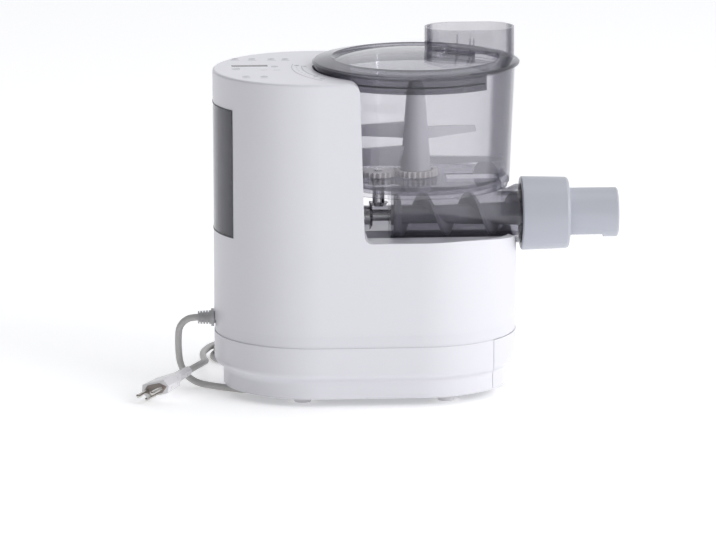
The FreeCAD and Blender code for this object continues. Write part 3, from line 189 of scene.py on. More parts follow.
@dataclass(frozen=True)
class Moulded:
    """Opaque moulded plastic or rubber, with slight flow marks and a fine skin texture.

    The roughness wanders by spread, the colour darkens by mottle, and the skin has grain
    features a metre that are depth metres deep.
    """

    name: str
    colour: Colour
    rough: float = 0.3
    spread: float = 0.04
    mottle: float = 0.03
    grain: float = 900.0
    depth: float = 0.00002
    coat: float = 0.0
    sheen: float = 0.0
    specular: float = 0.5

    def make(self) -> bpy.types.Material:
        """Build the material."""
        shader = Shader(self.name)
        place = shader.coords()
        clouds = shader.noise(place, scale=14.0, detail=3.0)
        dust = shader.noise(place, scale=260.0, detail=3.0, rough=0.6)
        skin = shader.noise(place, scale=self.grain)
        darker = tuple(channel * (1 - self.mottle) for channel in self.colour)
        colour = shader.blend(clouds, darker, self.colour)
        rough = (self.rough - self.spread / 2) + dust * self.spread
        made = shader.node("ShaderNodeBsdfPrincipled", None, {
            "Base Color": colour, "Roughness": rough, "Normal": shader.bump(skin, self.depth),
            "Coat Weight": self.coat, "Coat Roughness": 0.06,
            "Sheen Weight": self.sheen, "Sheen Roughness": 0.5,
            "Specular IOR Level": self.specular})
        return shader.finish(Val(shader, made.outputs[0]))


@dataclass(frozen=True)
class SmokyClear:
    """Clear tinted plastic wall: darker where it is seen edge on, with handling smears.

    A wall seen square on lets tint through, and one seen edge on lets edge through. Haze is
    the share of milky body colour. Outside the radius thick_from the wall is a thick ring.
    """

    name: str
    tint: Colour
    edge: Colour
    haze: float = 0.06
    body: Colour = (0.30, 0.30, 0.33)
    rough: float = 0.05
    ior: float = 1.5
    thick_from: float = 0.0
    rim_share: float = 0.35
    rim_facing: tuple[float, float] = (0.36, 0.44)
    edge_share: float = 0.9
    thick_share: float = 0.60
    thin_share: float = 0.30
    thick_blend: float = 1.5 * MM
    grazing_mirror: float = 0.92

    def make(self) -> bpy.types.Material:
        """Build the material."""
        shader = Shader(self.name)
        place = shader.coords()
        flow = shader.noise(place, scale=9.0)
        smear = shader.noise(place, scale=70.0, detail=4.0, rough=0.6)
        layer = shader.node("ShaderNodeLayerWeight", None, {"Blend": 0.5})
        facing = Val(shader, layer.outputs["Facing"])
        glance = ((self.ior - 1) / (self.ior + 1)) ** 2
        mirror = glance + (facing ** 5.0) * (self.grazing_mirror - glance)
        front = shader.node("ShaderNodeBsdfTransparent", None, {"Color": (*self.tint, 1.0)})
        side = shader.node("ShaderNodeBsdfTransparent", None, {"Color": (*self.edge, 1.0)})
        through = self._mix(shader, self._edge_share(shader, facing), front, side)
        milk = shader.node("ShaderNodeBsdfPrincipled", None, {
            "Base Color": (*self.body, 1.0), "Roughness": 0.5})
        wall = self._mix(shader, self.haze * 0.6 + flow * (self.haze * 0.8), through, milk)
        shine = shader.node("ShaderNodeBsdfPrincipled", None, {
            "Base Color": (0.95, 0.95, 0.97, 1.0), "Metallic": 1.0,
            "Roughness": self.rough * 0.6 + smear * (self.rough * 0.8),
            "Normal": shader.bump(flow, 0.00025)})
        return shader.finish(Val(shader, self._mix(shader, mirror, wall, shine).outputs[0]))

    def _edge_share(self, shader: Shader, facing: Val) -> Val:
        """Work out how much of the edge colour shows.

        Args:
            shader: The shader that the nodes go to.
            facing: 0 where the wall is seen square on, 1 where it is seen edge on.

        Returns:
            The edge colour's share.
        """
        grazing = self._step(shader, facing, *self.rim_facing) * self.rim_share
        share = grazing + (facing ** 2.0) * (self.edge_share - self.rim_share)
        if not self.thick_from:
            return share
        span = shader.node("ShaderNodeVectorMath", {"operation": "LENGTH"},
                           {0: shader.coords((1.0, 1.0, 0.0))})
        ring = self._step(shader, Val(shader, span.outputs["Value"]), self.thick_from,
                          self.thick_from + self.thick_blend)
        return share * self.thin_share + ring * self.thick_share

    def _step(self, shader: Shader, value: Val, low: float, high: float) -> Val:
        """Make a smooth step.

        Args:
            shader: The shader that the node goes to.
            value: The value that is stepped.
            low: Where the step starts.
            high: Where it ends.

        Returns:
            0 below low and 1 above high.
        """
        made = shader.node("ShaderNodeMapRange", {"interpolation_type": "SMOOTHSTEP"}, {
            "Value": value, "From Min": low, "From Max": high})
        return Val(shader, made.outputs["Result"])

    def _mix(self, shader: Shader, factor: Val, first: bpy.types.Node,
             second: bpy.types.Node) -> bpy.types.Node:
        """Add a Mix Shader node.

        Args:
            shader: The shader that it goes to.
            factor: The second one's share.
            first: The shader node where the factor is 0.
            second: The shader node where the factor is 1.

        Returns:
            The new node.
        """
        return shader.node("ShaderNodeMixShader", None, {
            0: factor, 1: Val(shader, first.outputs[0]), 2: Val(shader, second.outputs[0])})


@dataclass(frozen=True)
class Worked:
    """Metal with turning or grinding lines, lines being the pattern's scale on each axis."""

    name: str
    colour: Colour
    rough: float = 0.3
    lines: Point = (1.0, 1.0, 1.0)
    depth: float = 0.00001
    spread: float = 0.14

    def make(self) -> bpy.types.Material:
        """Build the material."""
        shader = Shader(self.name)
        marks = shader.noise(shader.coords(self.lines), scale=700.0)
        stain = shader.noise(shader.coords(), scale=40.0, detail=4.0, rough=0.6)
        darker = tuple(channel * 0.82 for channel in self.colour)
        made = shader.node("ShaderNodeBsdfPrincipled", None, {
            "Base Color": shader.blend(stain, darker, self.colour), "Metallic": 1.0,
            "Roughness": (self.rough - self.spread / 2) + marks * self.spread,
            "Normal": shader.bump(marks, self.depth)})
        return shader.finish(Val(shader, made.outputs[0]))


@dataclass(frozen=True)
class Board:
    """Coated circuit board with copper tracks under the lacquer."""

    name: str
    colour: Colour

    def make(self) -> bpy.types.Material:
        """Build the material."""
        shader = Shader(self.name)
        place = shader.coords()
        tracks = shader.node("ShaderNodeTexBrick", {"offset": 0.5}, {
            "Vector": place, "Scale": 90.0, "Mortar Size": 0.03,
            "Color1": (0.0, 0.0, 0.0, 1.0), "Color2": (0.1, 0.1, 0.1, 1.0),
            "Mortar": (1.0, 1.0, 1.0, 1.0)})
        mask = Val(shader, tracks.outputs["Fac"])
        lighter = tuple(channel * 1.8 + 0.02 for channel in self.colour)
        made = shader.node("ShaderNodeBsdfPrincipled", None, {
            "Base Color": shader.blend(mask, self.colour, lighter),
            "Roughness": 0.25 + shader.noise(place, scale=300.0) * 0.1,
            "Normal": shader.bump(mask, 0.00004)})
        return shader.finish(Val(shader, made.outputs[0]))


@dataclass(frozen=True)
class Seamless:
    """Plain pale studio paper."""

    name: str
    colour: Colour
    glow: float

    def make(self) -> bpy.types.Material:
        """Build the material."""
        shader = Shader(self.name)
        fibre = shader.noise(shader.coords(), scale=500.0)
        lower = tuple(channel * 0.99 for channel in self.colour)
        made = shader.node("ShaderNodeBsdfPrincipled", None, {
            "Base Color": shader.blend(fibre, lower, self.colour), "Roughness": 0.9,
            "Specular IOR Level": 0.1,
            "Emission Color": (1.0, 1.0, 1.0, 1.0), "Emission Strength": self.glow})
        return shader.finish(Val(shader, made.outputs[0]))


class Finish(Enum):
    """Every finish on the machine."""

    HOUSING = Moulded("housing_gloss_white", (0.71, 0.705, 0.75), rough=0.34, mottle=0.008,
                      grain=260.0, depth=0.000003, coat=0.12)
    BAND = Moulded("band_white", (0.70, 0.695, 0.74), rough=0.36, mottle=0.01,
                   grain=260.0, depth=0.000003, coat=0.08)
    SMOKY = SmokyClear("smoky_bowl", (0.905, 0.90, 0.915), (0.38, 0.375, 0.42), haze=0.028)
    SMOKY_BARREL = SmokyClear("smoky_barrel", (0.77, 0.765, 0.79), (0.26, 0.255, 0.29), haze=0.05)
    SMOKY_LID = SmokyClear("smoky_lid", (0.90, 0.897, 0.91), (0.17, 0.165, 0.21), haze=0.035,
                           thick_from=81.5 * MM)
    SMOKY_CHUTE = SmokyClear("smoky_chute", (0.86, 0.855, 0.87), (0.34, 0.335, 0.38), haze=0.05)
    SMOKY_TANK = SmokyClear("smoky_tank", (0.62, 0.615, 0.645), (0.22, 0.215, 0.25), haze=0.16)
    PALE = Moulded("pale_grey_satin", (0.44, 0.455, 0.505), rough=0.36, spread=0.06,
                   grain=400.0, depth=0.000006)
    LIGHT = Moulded("light_grey_satin", (0.60, 0.60, 0.63), rough=0.30, spread=0.06,
                    mottle=0.04, grain=400.0, depth=0.000006)
    GEAR = Moulded("gear_white_acetal", (0.84, 0.82, 0.80), rough=0.36, spread=0.05,
                   mottle=0.02, depth=0.00001)
    INNER = Moulded("inner_grey_moulded", (0.33, 0.34, 0.37), rough=0.5, spread=0.08,
                    mottle=0.06, grain=800.0, depth=0.00003)
    STEEL = Worked("ground_steel", (0.62, 0.62, 0.63), rough=0.26, lines=(0.05, 1.0, 1.0))
    MOTOR = Worked("zinc_plated_can", (0.50, 0.51, 0.53), rough=0.38, lines=(0.08, 1.0, 1.0))
    ALLOY = Worked("die_cast_alloy", (0.58, 0.59, 0.60), rough=0.5, depth=0.00004)
    BRONZE = Worked("sintered_bronze", (0.60, 0.42, 0.20), rough=0.42, depth=0.00003)
    SOFT = Moulded("soft_grey_seal", (0.20, 0.20, 0.22), rough=0.6, spread=0.08,
                   mottle=0.05, grain=1200.0, depth=0.00003, sheen=0.2)
    DISPLAY = Moulded("display_black", (0.012, 0.012, 0.018), rough=0.45, spread=0.03,
                      mottle=0.02, grain=300.0, depth=0.000003, specular=0.04)
    BOARD = Board("board_lacquer", (0.02, 0.11, 0.05))
    HOSE = SmokyClear("hose_silicone", (0.80, 0.82, 0.82), (0.5, 0.52, 0.52), haze=0.45,
                      body=(0.7, 0.72, 0.72), rough=0.25, ior=1.4)
    CORD = Moulded("cord_matt_grey", (0.52, 0.51, 0.50), rough=0.5, spread=0.1,
                   mottle=0.04, grain=1500.0)
    RELIEF = Moulded("relief_grey", (0.50, 0.50, 0.51), rough=0.45, spread=0.08,
                     mottle=0.04, grain=1300.0)
    PLUG = Moulded("plug_white_gloss", (0.74, 0.73, 0.75), rough=0.28, spread=0.06,
                   depth=0.00001, coat=0.2)
    PLUG_FACE = Moulded("plug_face_brown_grey", (0.30, 0.26, 0.24), rough=0.5, spread=0.08,
                        mottle=0.05)
    CONTACT = Worked("nickel_contact", (0.72, 0.70, 0.66), rough=0.22)
    PRINT = Moulded("touch_mark_grey", (0.42, 0.42, 0.46), rough=0.4, spread=0.05,
                    mottle=0.02, grain=600.0, depth=0.000004)
    OUTLINE = Moulded("dark_seal_line", (0.035, 0.035, 0.045), rough=0.45, spread=0.08,
                      depth=0.00001)
    PAPER = Seamless("studio_paper", (0.93, 0.93, 0.94), glow=0.32)

    def material(self) -> bpy.types.Material:
        """Return the finish's material, built the first time it is asked for."""
        made = bpy.data.materials.get(self.value.name)
        return made or self.value.make()


NODE_FINISHES: dict[str, Finish] = {
    "base_shell": Finish.HOUSING, "bottom_plate": Finish.INNER, "feet": Finish.PLUG,
    "bottom_screws": Finish.STEEL, "waist_band": Finish.BAND, "chassis_plate": Finish.INNER,
    "main_housing": Finish.HOUSING, "display_window": Finish.DISPLAY, "control_board": Finish.BOARD,
    "power_board": Finish.BOARD, "tank_bay": Finish.INNER, "water_pump": Finish.INNER,
    "water_hoses": Finish.HOSE, "water_nozzle": Finish.LIGHT, "motor_can": Finish.MOTOR,
    "motor_end_cap": Finish.INNER, "motor_bracket": Finish.ALLOY, "gearbox_case": Finish.ALLOY,
    "gearbox_cover": Finish.ALLOY, "shaft_bearings": Finish.BRONZE, "drive_seal": Finish.SOFT,
    "strain_relief": Finish.RELIEF, "mains_plug": Finish.PLUG, "plug_pins": Finish.CONTACT,
    "mains_cord_lead": Finish.CORD, "mains_cord_coil": Finish.CORD, "mains_cord_tail": Finish.CORD,
    "motor_rotor": Finish.MOTOR, "motor_shaft": Finish.STEEL, "lay_gear": Finish.GEAR,
    "output_gear": Finish.GEAR, "output_shaft": Finish.STEEL, "mixing_bowl": Finish.SMOKY,
    "extruder_barrel": Finish.SMOKY_BARREL, "screw_bush": Finish.GEAR, "idler_bush": Finish.GEAR,
    "paddle_pivot": Finish.GEAR, "auger_screw": Finish.LIGHT, "auger_tail": Finish.STEEL,
    "idler_gear": Finish.GEAR, "idler_shaft": Finish.STEEL, "paddle_gear": Finish.GEAR,
    "mixing_paddle": Finish.LIGHT, "bowl_lid": Finish.SMOKY_LID, "fill_chute": Finish.SMOKY_CHUTE,
    "lid_seal": Finish.SMOKY_CHUTE, "outlet_tube": Finish.PALE, "die_shell": Finish.PALE,
    "die_plug": Finish.LIGHT, "lock_nut": Finish.PALE, "tank_shell": Finish.SMOKY_TANK,
    "tank_lid": Finish.SMOKY_TANK, "tank_valve": Finish.INNER, "drawer_front": Finish.HOUSING,
    "drawer_tray": Finish.BAND,
}


# Camera, floor and light

@dataclass
class Studio:
    """Camera at the photograph's angle, pale floor and soft light."""

    aim: Point = (-0.0581, 0.0, 0.1195)
    azimuth: float = -3.19
    elevation: float = 11.81
    roll: float = -0.18
    distance: float = 5.9
    lens: float = 295.9
    floor_side: float = 18.0
    floor_place: Point = (0.0, 2.0, 0.0)
    lamp_aim_rise: float = 0.06
    sky: Colour = (0.97, 0.98, 1.0)
    shade: Point = (-0.76, -0.64, 0.12)
    shade_from: float = -0.5
    shade_depth: float = 0.96
    lamps: list[tuple[str, Point, tuple[float, float], float]] = field(default_factory=lambda: [
        ("key", (2.4, -2.0, 1.7), (1.8, 1.8), 43.0),
        ("top", (0.4, 0.1, 3.0), (2.0, 2.0), 12.0),
        ("left_strip", (-1.75, -2.5, 0.35), (0.07, 1.5), 8.0),
        ("right_strip", (2.0, -2.1, 0.35), (0.06, 1.5), 8.0)])

    def build(self) -> None:
        """Make the camera, the floor, the lamps and the surrounding light."""
        self.camera()
        self.floor()
        for name, place, sides, power in self.lamps:
            self.lamp(name, place, sides, power)
        self.surround()

    def camera(self) -> None:
        """Place the camera on its line of sight and turn it by the photograph's roll."""
        side, up = math.radians(self.azimuth), math.radians(self.elevation)
        back = Vector((math.sin(side) * math.cos(up), -math.cos(side) * math.cos(up), math.sin(up)))
        data = bpy.data.cameras.new("photo_camera")
        data.lens = self.lens
        data.sensor_width = 36.0
        data.clip_start, data.clip_end = 0.5, 60.0
        camera = bpy.data.objects.new("photo_camera", data)
        camera.location = Vector(self.aim) + back * self.distance
        turn = (-back).to_track_quat("-Z", "Y") @ Quaternion((0, 0, 1), math.radians(self.roll))
        camera.rotation_mode = "QUATERNION"
        camera.rotation_quaternion = turn
        bpy.context.scene.collection.objects.link(camera)
        bpy.context.scene.camera = camera

    def floor(self) -> None:
        """Lay the floor, a wide level sheet of paper."""
        clear_selection()
        bpy.ops.mesh.primitive_grid_add(x_subdivisions=2, y_subdivisions=2,
                                        size=self.floor_side, location=self.floor_place)
        sheet = bpy.context.object
        sheet.name = "studio_floor"
        sheet.data.materials.append(Finish.PAPER.material())

    def lamp(self, name: str, place: Point, sides: tuple[float, float], power: float) -> None:
        """Hang one soft box that looks at the machine.

        Args:
            name: The lamp's name.
            place: Where it hangs.
            sides: Its width and height.
            power: Its power in watts.
        """
        data = bpy.data.lights.new(name, "AREA")
        data.shape = "RECTANGLE"
        data.size, data.size_y = sides
        data.energy = power
        lamp = bpy.data.objects.new(name, data)
        lamp.location = place
        toward = Vector(self.aim) + Vector((0, 0, self.lamp_aim_rise)) - Vector(place)
        lamp.rotation_euler = toward.to_track_quat("-Z", "Y").to_euler()
        bpy.context.scene.collection.objects.link(lamp)

    def surround(self) -> None:
        """Fill the surroundings with white light, weaker from the machine's left front."""
        world = bpy.data.worlds.new("studio_surround")
        bpy.context.scene.world = world
        world.use_nodes = True
        tree = world.node_tree
        light = tree.nodes["Background"]
        light.inputs["Color"].default_value = (*self.sky, 1.0)
        way = tree.nodes.new("ShaderNodeTexCoord")
        dot = tree.nodes.new("ShaderNodeVectorMath")
        dot.operation = "DOT_PRODUCT"
        dot.inputs[1].default_value = Vector(self.shade).normalized()
        level = tree.nodes.new("ShaderNodeMapRange")
        level.interpolation_type = "SMOOTHSTEP"
        level.inputs["From Min"].default_value = self.shade_from
        level.inputs["To Min"].default_value = 1.0
        level.inputs["To Max"].default_value = 1.0 - self.shade_depth
        tree.links.new(way.outputs["Generated"], dot.inputs[0])
        tree.links.new(dot.outputs["Value"], level.inputs["Value"])
        tree.links.new(level.outputs["Result"], light.inputs["Strength"])
        bpy.context.scene.view_settings.view_transform = "Standard"
        bpy.context.scene.cycles.transparent_max_bounces = 32
        bpy.context.scene.cycles.max_bounces = 16


# Modelling helpers

def clear_selection() -> None:
    """Leave edit mode and deselect every object."""
    if bpy.context.mode != "OBJECT":
        bpy.ops.object.mode_set(mode="OBJECT")
    bpy.ops.object.select_all(action="DESELECT")


def rest_place(piece: bpy.types.Object) -> None:
    """Move an object's place into its mesh, so that it sits at the origin, unturned."""
    clear_selection()
    piece.select_set(True)
    bpy.context.view_layer.objects.active = piece
    bpy.ops.object.transform_apply(location=True, rotation=True, scale=True)


def dress(piece: bpy.types.Object, name: str, body: str, finish: Finish) -> None:
    """Name a new piece, give it its finish and set it on its body.

    Args:
        piece: The piece.
        name: Its name.
        body: The body that it rides on.
        finish: Its finish.
    """
    piece.name = name
    piece.data.name = name
    piece.data.materials.clear()
    piece.data.materials.append(finish.material())
    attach(piece, body)
    LOG.info("piece %s on %s", name, body)


def edit(piece: bpy.types.Object) -> None:
    """Open a piece in edit mode, alone."""
    clear_selection()
    piece.select_set(True)
    bpy.context.view_layer.objects.active = piece
    bpy.ops.object.mode_set(mode="EDIT")


def pick_faces(piece: bpy.types.Object, wanted: Callable[[bmesh.types.BMFace], bool]) -> None:
    """Select the faces that a test wants, in edit mode.

    Args:
        piece: The piece in edit mode.
        wanted: Tells whether a face is selected.
    """
    bpy.ops.mesh.select_mode(type="FACE")
    bpy.ops.mesh.select_all(action="DESELECT")
    mesh = bmesh.from_edit_mesh(piece.data)
    for face in mesh.faces:
        if wanted(face):
            face.select_set(True)
    bmesh.update_edit_mesh(piece.data)


def settle(piece: bpy.types.Object) -> None:
    """Merge doubles, point the faces outwards, leave edit mode, rest at the origin and shade.

    Args:
        piece: The piece in edit mode.
    """
    bpy.ops.mesh.select_all(action="SELECT")
    bpy.ops.mesh.remove_doubles(threshold=MERGE)
    bpy.ops.mesh.normals_make_consistent(inside=False)
    bpy.ops.object.mode_set(mode="OBJECT")
    rest_place(piece)
    bpy.ops.object.shade_smooth_by_angle(angle=math.radians(SMOOTH_DEG))


def swept_bar(centre: Point, radius: float, width: float, height: float, start: float,
              sweep: float, steps: int) -> bpy.types.Object:
    """Make an arc-shaped bar with square ends, lying level.

    Args:
        centre: The arc's centre, at the bar's middle height.
        radius: The arc's mean radius.
        width: The bar's size across the arc.
        height: The bar's size upwards.
        start: The arc's start, in degrees from +X.
        sweep: Its angle in degrees, turning left.
        steps: Its segments.

    Returns:
        The bar.
    """
    clear_selection()
    lead_in = LEAD_IN * radius * math.radians(sweep) / steps
    bpy.ops.mesh.primitive_cube_add(size=1.0)
    bar = bpy.context.object
    bar.scale = (width, lead_in, height)
    bar.location = (radius, -lead_in / 2, 0)
    rest_place(bar)
    edit(bar)
    pick_faces(bar, lambda face: face.normal.y > 0.9)
    bpy.ops.mesh.spin(steps=steps, angle=math.radians(sweep), center=(0, 0, 0), axis=(0, 0, -1))
    settle(bar)
    bar.rotation_euler = (0, 0, math.radians(start))
    bar.location = centre
    rest_place(bar)
    return bar


def bevelled_block(low: Point, high: Point, bevel: float,
                   segments: int = 2) -> bpy.types.Object:
    """Make a block with rounded edges.

    Args:
        low: Its lowest corner.
        high: Its highest corner.
        bevel: The rounding's width.
        segments: The rounding's steps.

    Returns:
        The block.
    """
    clear_selection()
    bpy.ops.mesh.primitive_cube_add(size=1.0)
    block = bpy.context.object
    block.scale = [b - a for a, b in zip(low, high)]
    block.location = [(a + b) / 2 for a, b in zip(low, high)]
    rest_place(block)
    edit(block)
    bpy.ops.mesh.select_all(action="SELECT")
    bpy.ops.mesh.bevel(offset=bevel, segments=segments, affect="EDGES")
    settle(block)
    return block


def flat_ring(centre: Point, radius: float, width: float, height: float) -> bpy.types.Object:
    """Make a small flat ring, bridged between the openings of an inset disc.

    Args:
        centre: Its centre.
        radius: Its outer radius.
        width: The band's width.
        height: Its size upwards.

    Returns:
        The ring.
    """
    clear_selection()
    bpy.ops.mesh.primitive_cylinder_add(vertices=28, radius=radius, depth=height, location=centre)
    ring = bpy.context.object
    edit(ring)
    pick_faces(ring, lambda face: abs(face.normal.z) > 0.9)
    bpy.ops.mesh.inset(thickness=width)
    bpy.ops.mesh.bridge_edge_loops()
    settle(ring)
    return ring


def join(parts: list[bpy.types.Object]) -> bpy.types.Object:
    """Join several meshes.

    Args:
        parts: The meshes.

    Returns:
        The first one, with the others in it.
    """
    clear_selection()
    for part in parts:
        part.select_set(True)
    bpy.context.view_layer.objects.active = parts[0]
    bpy.ops.object.join()
    return parts[0]


def softened_copy(node: str, bevel: float, segments: int) -> bpy.types.Object:
    """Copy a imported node's solid and round its sharp edges.

    Args:
        node: The node.
        bevel: The rounding's width.
        segments: Its steps.

    Returns:
        The new mesh object.
    """
    clear_selection()
    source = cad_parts[node]
    copy = bpy.data.objects.new(node + "_copy", source.data.copy())
    bpy.context.scene.collection.objects.link(copy)
    edit(copy)
    bpy.ops.mesh.select_all(action="SELECT")
    bpy.ops.mesh.remove_doubles(threshold=0.01 * MM)
    bpy.ops.mesh.dissolve_limited(angle_limit=math.radians(1.0))
    bpy.ops.object.mode_set(mode="OBJECT")
    copy.select_set(True)
    bpy.context.view_layer.objects.active = copy
    rounding = copy.modifiers.new("rounding", "BEVEL")
    rounding.width = bevel
    rounding.segments = segments
    rounding.limit_method = "ANGLE"
    rounding.angle_limit = math.radians(30.0)
    bpy.ops.object.modifier_apply(modifier=rounding.name)
    bpy.ops.object.shade_smooth_by_angle(angle=math.radians(SMOOTH_DEG))
    return copy


# Parts that the scene adds

@dataclass
class MainsCord:
    """The mains cord: lead, loose ring of turns behind the machine, and the plug's tail.

    The line's places and sizes are in millimetres, and its radius is in metres.
    """

    radius: float = 3.4 * MM
    floor_height: float = 3.5
    coil_centre: tuple[float, float] = (-166.0, 133.0)
    coil_turns: float = 3 + 165 / 360
    coil_outer: float = 39.0
    coil_step: float = 8.2
    coil_rise: float = 7.6
    points_per_turn: int = 14
    lead: list[Point] = field(default_factory=lambda: [
        (-219, 0, 73.5), (-225.4, 0.1, 73.5), (-231.3, 0.5, 71), (-235.8, 1.3, 66.5),
        (-238.3, 2.8, 60.4), (-238.8, 6, 48), (-238.4, 8.5, 36), (-237, 10, 24),
        (-231, 10, 11.5), (-220, 6, 4.6), (-206, -2, 3.5), (-192, -12, 3.5), (-177, -22, 3.5),
        (-163, -28, 3.5), (-149, -25, 3.5), (-139, -13, 3.5), (-137, 4, 3.5), (-141, 22, 3.5),
        (-146, 40, 3.5), (-147, 59, 3.5), (-141, 77, 3.5), (-131, 93, 3.5), (-126.2, 109.2, 3.5)])
    tail: list[Point] = field(default_factory=lambda: [
        (-205.6, 136.6, 11.1), (-210.3, 121.3, 11.1), (-211.5, 104, 11.6), (-211.5, 85, 12.8),
        (-210.5, 65, 15), (-210, 45, 18.5), (-212.5, 25, 22), (-218.2, 5.2, 23.5), (-229, -9, 21)])

    def coil_point(self, turns: float) -> Point:
        """Find a place on the ring's centre line.

        The ring winds inwards in a lower layer, and back outwards in one on top of it.

        Args:
            turns: The turns from the ring's start.

        Returns:
            The place in millimetres.
        """
        angle = 2 * math.pi * turns
        half = self.coil_turns / 2
        radius = self.coil_outer - self.coil_step * (half - abs(turns - half))
        climb = min(max((turns - half + 0.25) / 0.5, 0.0), 1.0)
        return (self.coil_centre[0] + radius * math.cos(angle),
                self.coil_centre[1] + radius * math.sin(angle),
                self.floor_height + self.coil_rise * climb)

    def route(self) -> list[Point]:
        """Put the lead, the ring and the tail together.

        Returns:
            The whole line's control points in millimetres.
        """
        count = round(self.coil_turns * self.points_per_turn)
        turns = [self.coil_point(self.coil_turns * step / count) for step in range(count + 1)]
        return self.lead + turns + self.tail

    def build(self) -> None:
        curve = bpy.data.curves.new("mains_cord", "CURVE")
        curve.dimensions = "3D"
        curve.bevel_depth = self.radius
        curve.bevel_resolution = 5
        curve.use_fill_caps = True
        spline = curve.splines.new("NURBS")
        route = self.route()
        spline.points.add(len(route) - 1)
        for point, place in zip(spline.points, route):
            point.co = (*[value * MM for value in place], 1.0)
        spline.order_u = 3
        spline.use_endpoint_u = True
        spline.resolution_u = 6
        cord = bpy.data.objects.new("mains_cord", curve)
        bpy.context.scene.collection.objects.link(cord)
        dress(cord, "mains_cord", "machine", Finish.CORD)
        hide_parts("mains_cord_lead", "mains_cord_coil", "mains_cord_tail")


@dataclass
class TouchPanel:
    """Printed touch marks round the display and the locking marks beside the lid.

    Rings are x, y and radius, and dashes x, y and length, in millimetres. Arcs are radius,
    start, sweep and width, and arrows radius, angle and size, round the lid's axis.
    """

    top: float = 326.0 * MM
    proud: float = 0.12 * MM
    stroke: float = 0.7 * MM
    tick: float = 0.84
    rings: list[tuple[float, float, float]] = field(default_factory=lambda: [
        (-178.0, 55.3, 3.4), (-161.0, 54.0, 3.4), (-141.9, 52.6, 3.4), (-127.9, 51.6, 3.4),
        (-179.1, -3.3, 4.2), (-140.3, 8.4, 3.6), (-170.8, -47.3, 3.6), (-153.1, -48.6, 3.6)])
    dashes: list[tuple[float, float, float]] = field(default_factory=lambda: [
        (-178.0, 47.5, 9.0), (-161.0, 46.2, 9.0), (-141.9, 44.8, 9.0), (-127.9, 43.8, 9.0),
        (-151.6, -11.2, 7.0), (-138.7, -12.2, 7.0), (-170.8, -55.2, 8.0), (-153.1, -56.6, 8.0)])
    lock_arcs: tuple[tuple[float, float, float, float], ...] = (
        (123.4, 170.0, 48.0, 0.7), (113.5, 175.0, 30.0, 0.9))
    lock_arrows: tuple[Point, ...] = ((113.5, 206.5, 5.0), (110.5, 176.0, 4.2))
    lock_rings: tuple[Point, ...] = ((-118.0, 13.0, 2.4), (-96.0, -66.0, 2.4))
    lock_dots: int = 9
    dot_from: float = 174.0
    dot_step: float = 5.0
    dot_radius: float = 118.6
    dot_length: float = 1.6

    def ring(self, x: float, y: float, radius: float) -> bpy.types.Object:
        """Print a ring, in millimetres."""
        return flat_ring((x * MM, y * MM, self.top), radius * MM, self.stroke, 2 * self.proud)

    def dash(self, x: float, y: float, length: float) -> bpy.types.Object:
        """Print a short stroke along X.

        Args:
            x: Its middle's place along X, in millimetres.
            y: Its place along Y, in millimetres.
            length: Its length, in millimetres.

        Returns:
            The stroke.
        """
        low = ((x - length / 2) * MM, y * MM - self.stroke / 2, self.top - self.proud)
        high = ((x + length / 2) * MM, y * MM + self.stroke / 2, self.top + self.proud)
        return bevelled_block(low, high, self.proud / 2, 1)

    def arc(self, radius: float, start: float, sweep: float, width: float) -> bpy.types.Object:
        """Print an arc round the lid's axis, in millimetres and degrees."""
        return swept_bar((0, 0, self.top), radius * MM, width * MM, 2 * self.proud,
                         start, sweep, steps=24)

    def arrow_head(self, radius: float, angle: float, size: float) -> bpy.types.Object:
        """Print a solid arrow head that points round the lid.

        Args:
            radius: Its distance from the lid's axis, in millimetres.
            angle: Its place round the axis, in degrees.
            size: Its length, in millimetres.

        Returns:
            The arrow head.
        """
        clear_selection()
        turn = math.radians(angle)
        spot = (radius * math.cos(turn) * MM, radius * math.sin(turn) * MM, self.top)
        bpy.ops.mesh.primitive_cylinder_add(vertices=3, radius=size * MM * 0.62,
                                            depth=2 * self.proud)
        head = bpy.context.object
        edit(head)
        bpy.ops.mesh.select_all(action="SELECT")
        bpy.ops.mesh.bevel(offset=0.25 * MM, segments=2, affect="VERTICES")
        settle(head)
        head.rotation_euler = (0, 0, turn)
        head.location = spot
        rest_place(head)
        return head

    def build(self) -> None:
        """Make the touch marks and the locking marks."""
        marks = []
        for x, y, radius in self.rings:
            marks += [self.ring(x, y, radius), self.dash(x, y, self.tick * radius)]
        marks += [self.dash(*dash) for dash in self.dashes]
        dress(join(marks), "touch_marks", "machine", Finish.PRINT)
        lock = [self.arc(*arc) for arc in self.lock_arcs]
        lock += [self.arrow_head(*arrow) for arrow in self.lock_arrows]
        lock += [self.ring(*ring) for ring in self.lock_rings]
        for step in range(self.lock_dots):
            turn = math.radians(self.dot_from + self.dot_step * step)
            lock.append(self.dash(self.dot_radius * math.cos(turn),
                                  self.dot_radius * math.sin(turn), self.dot_length))
        dress(join(lock), "lock_marks", "machine", Finish.PRINT)


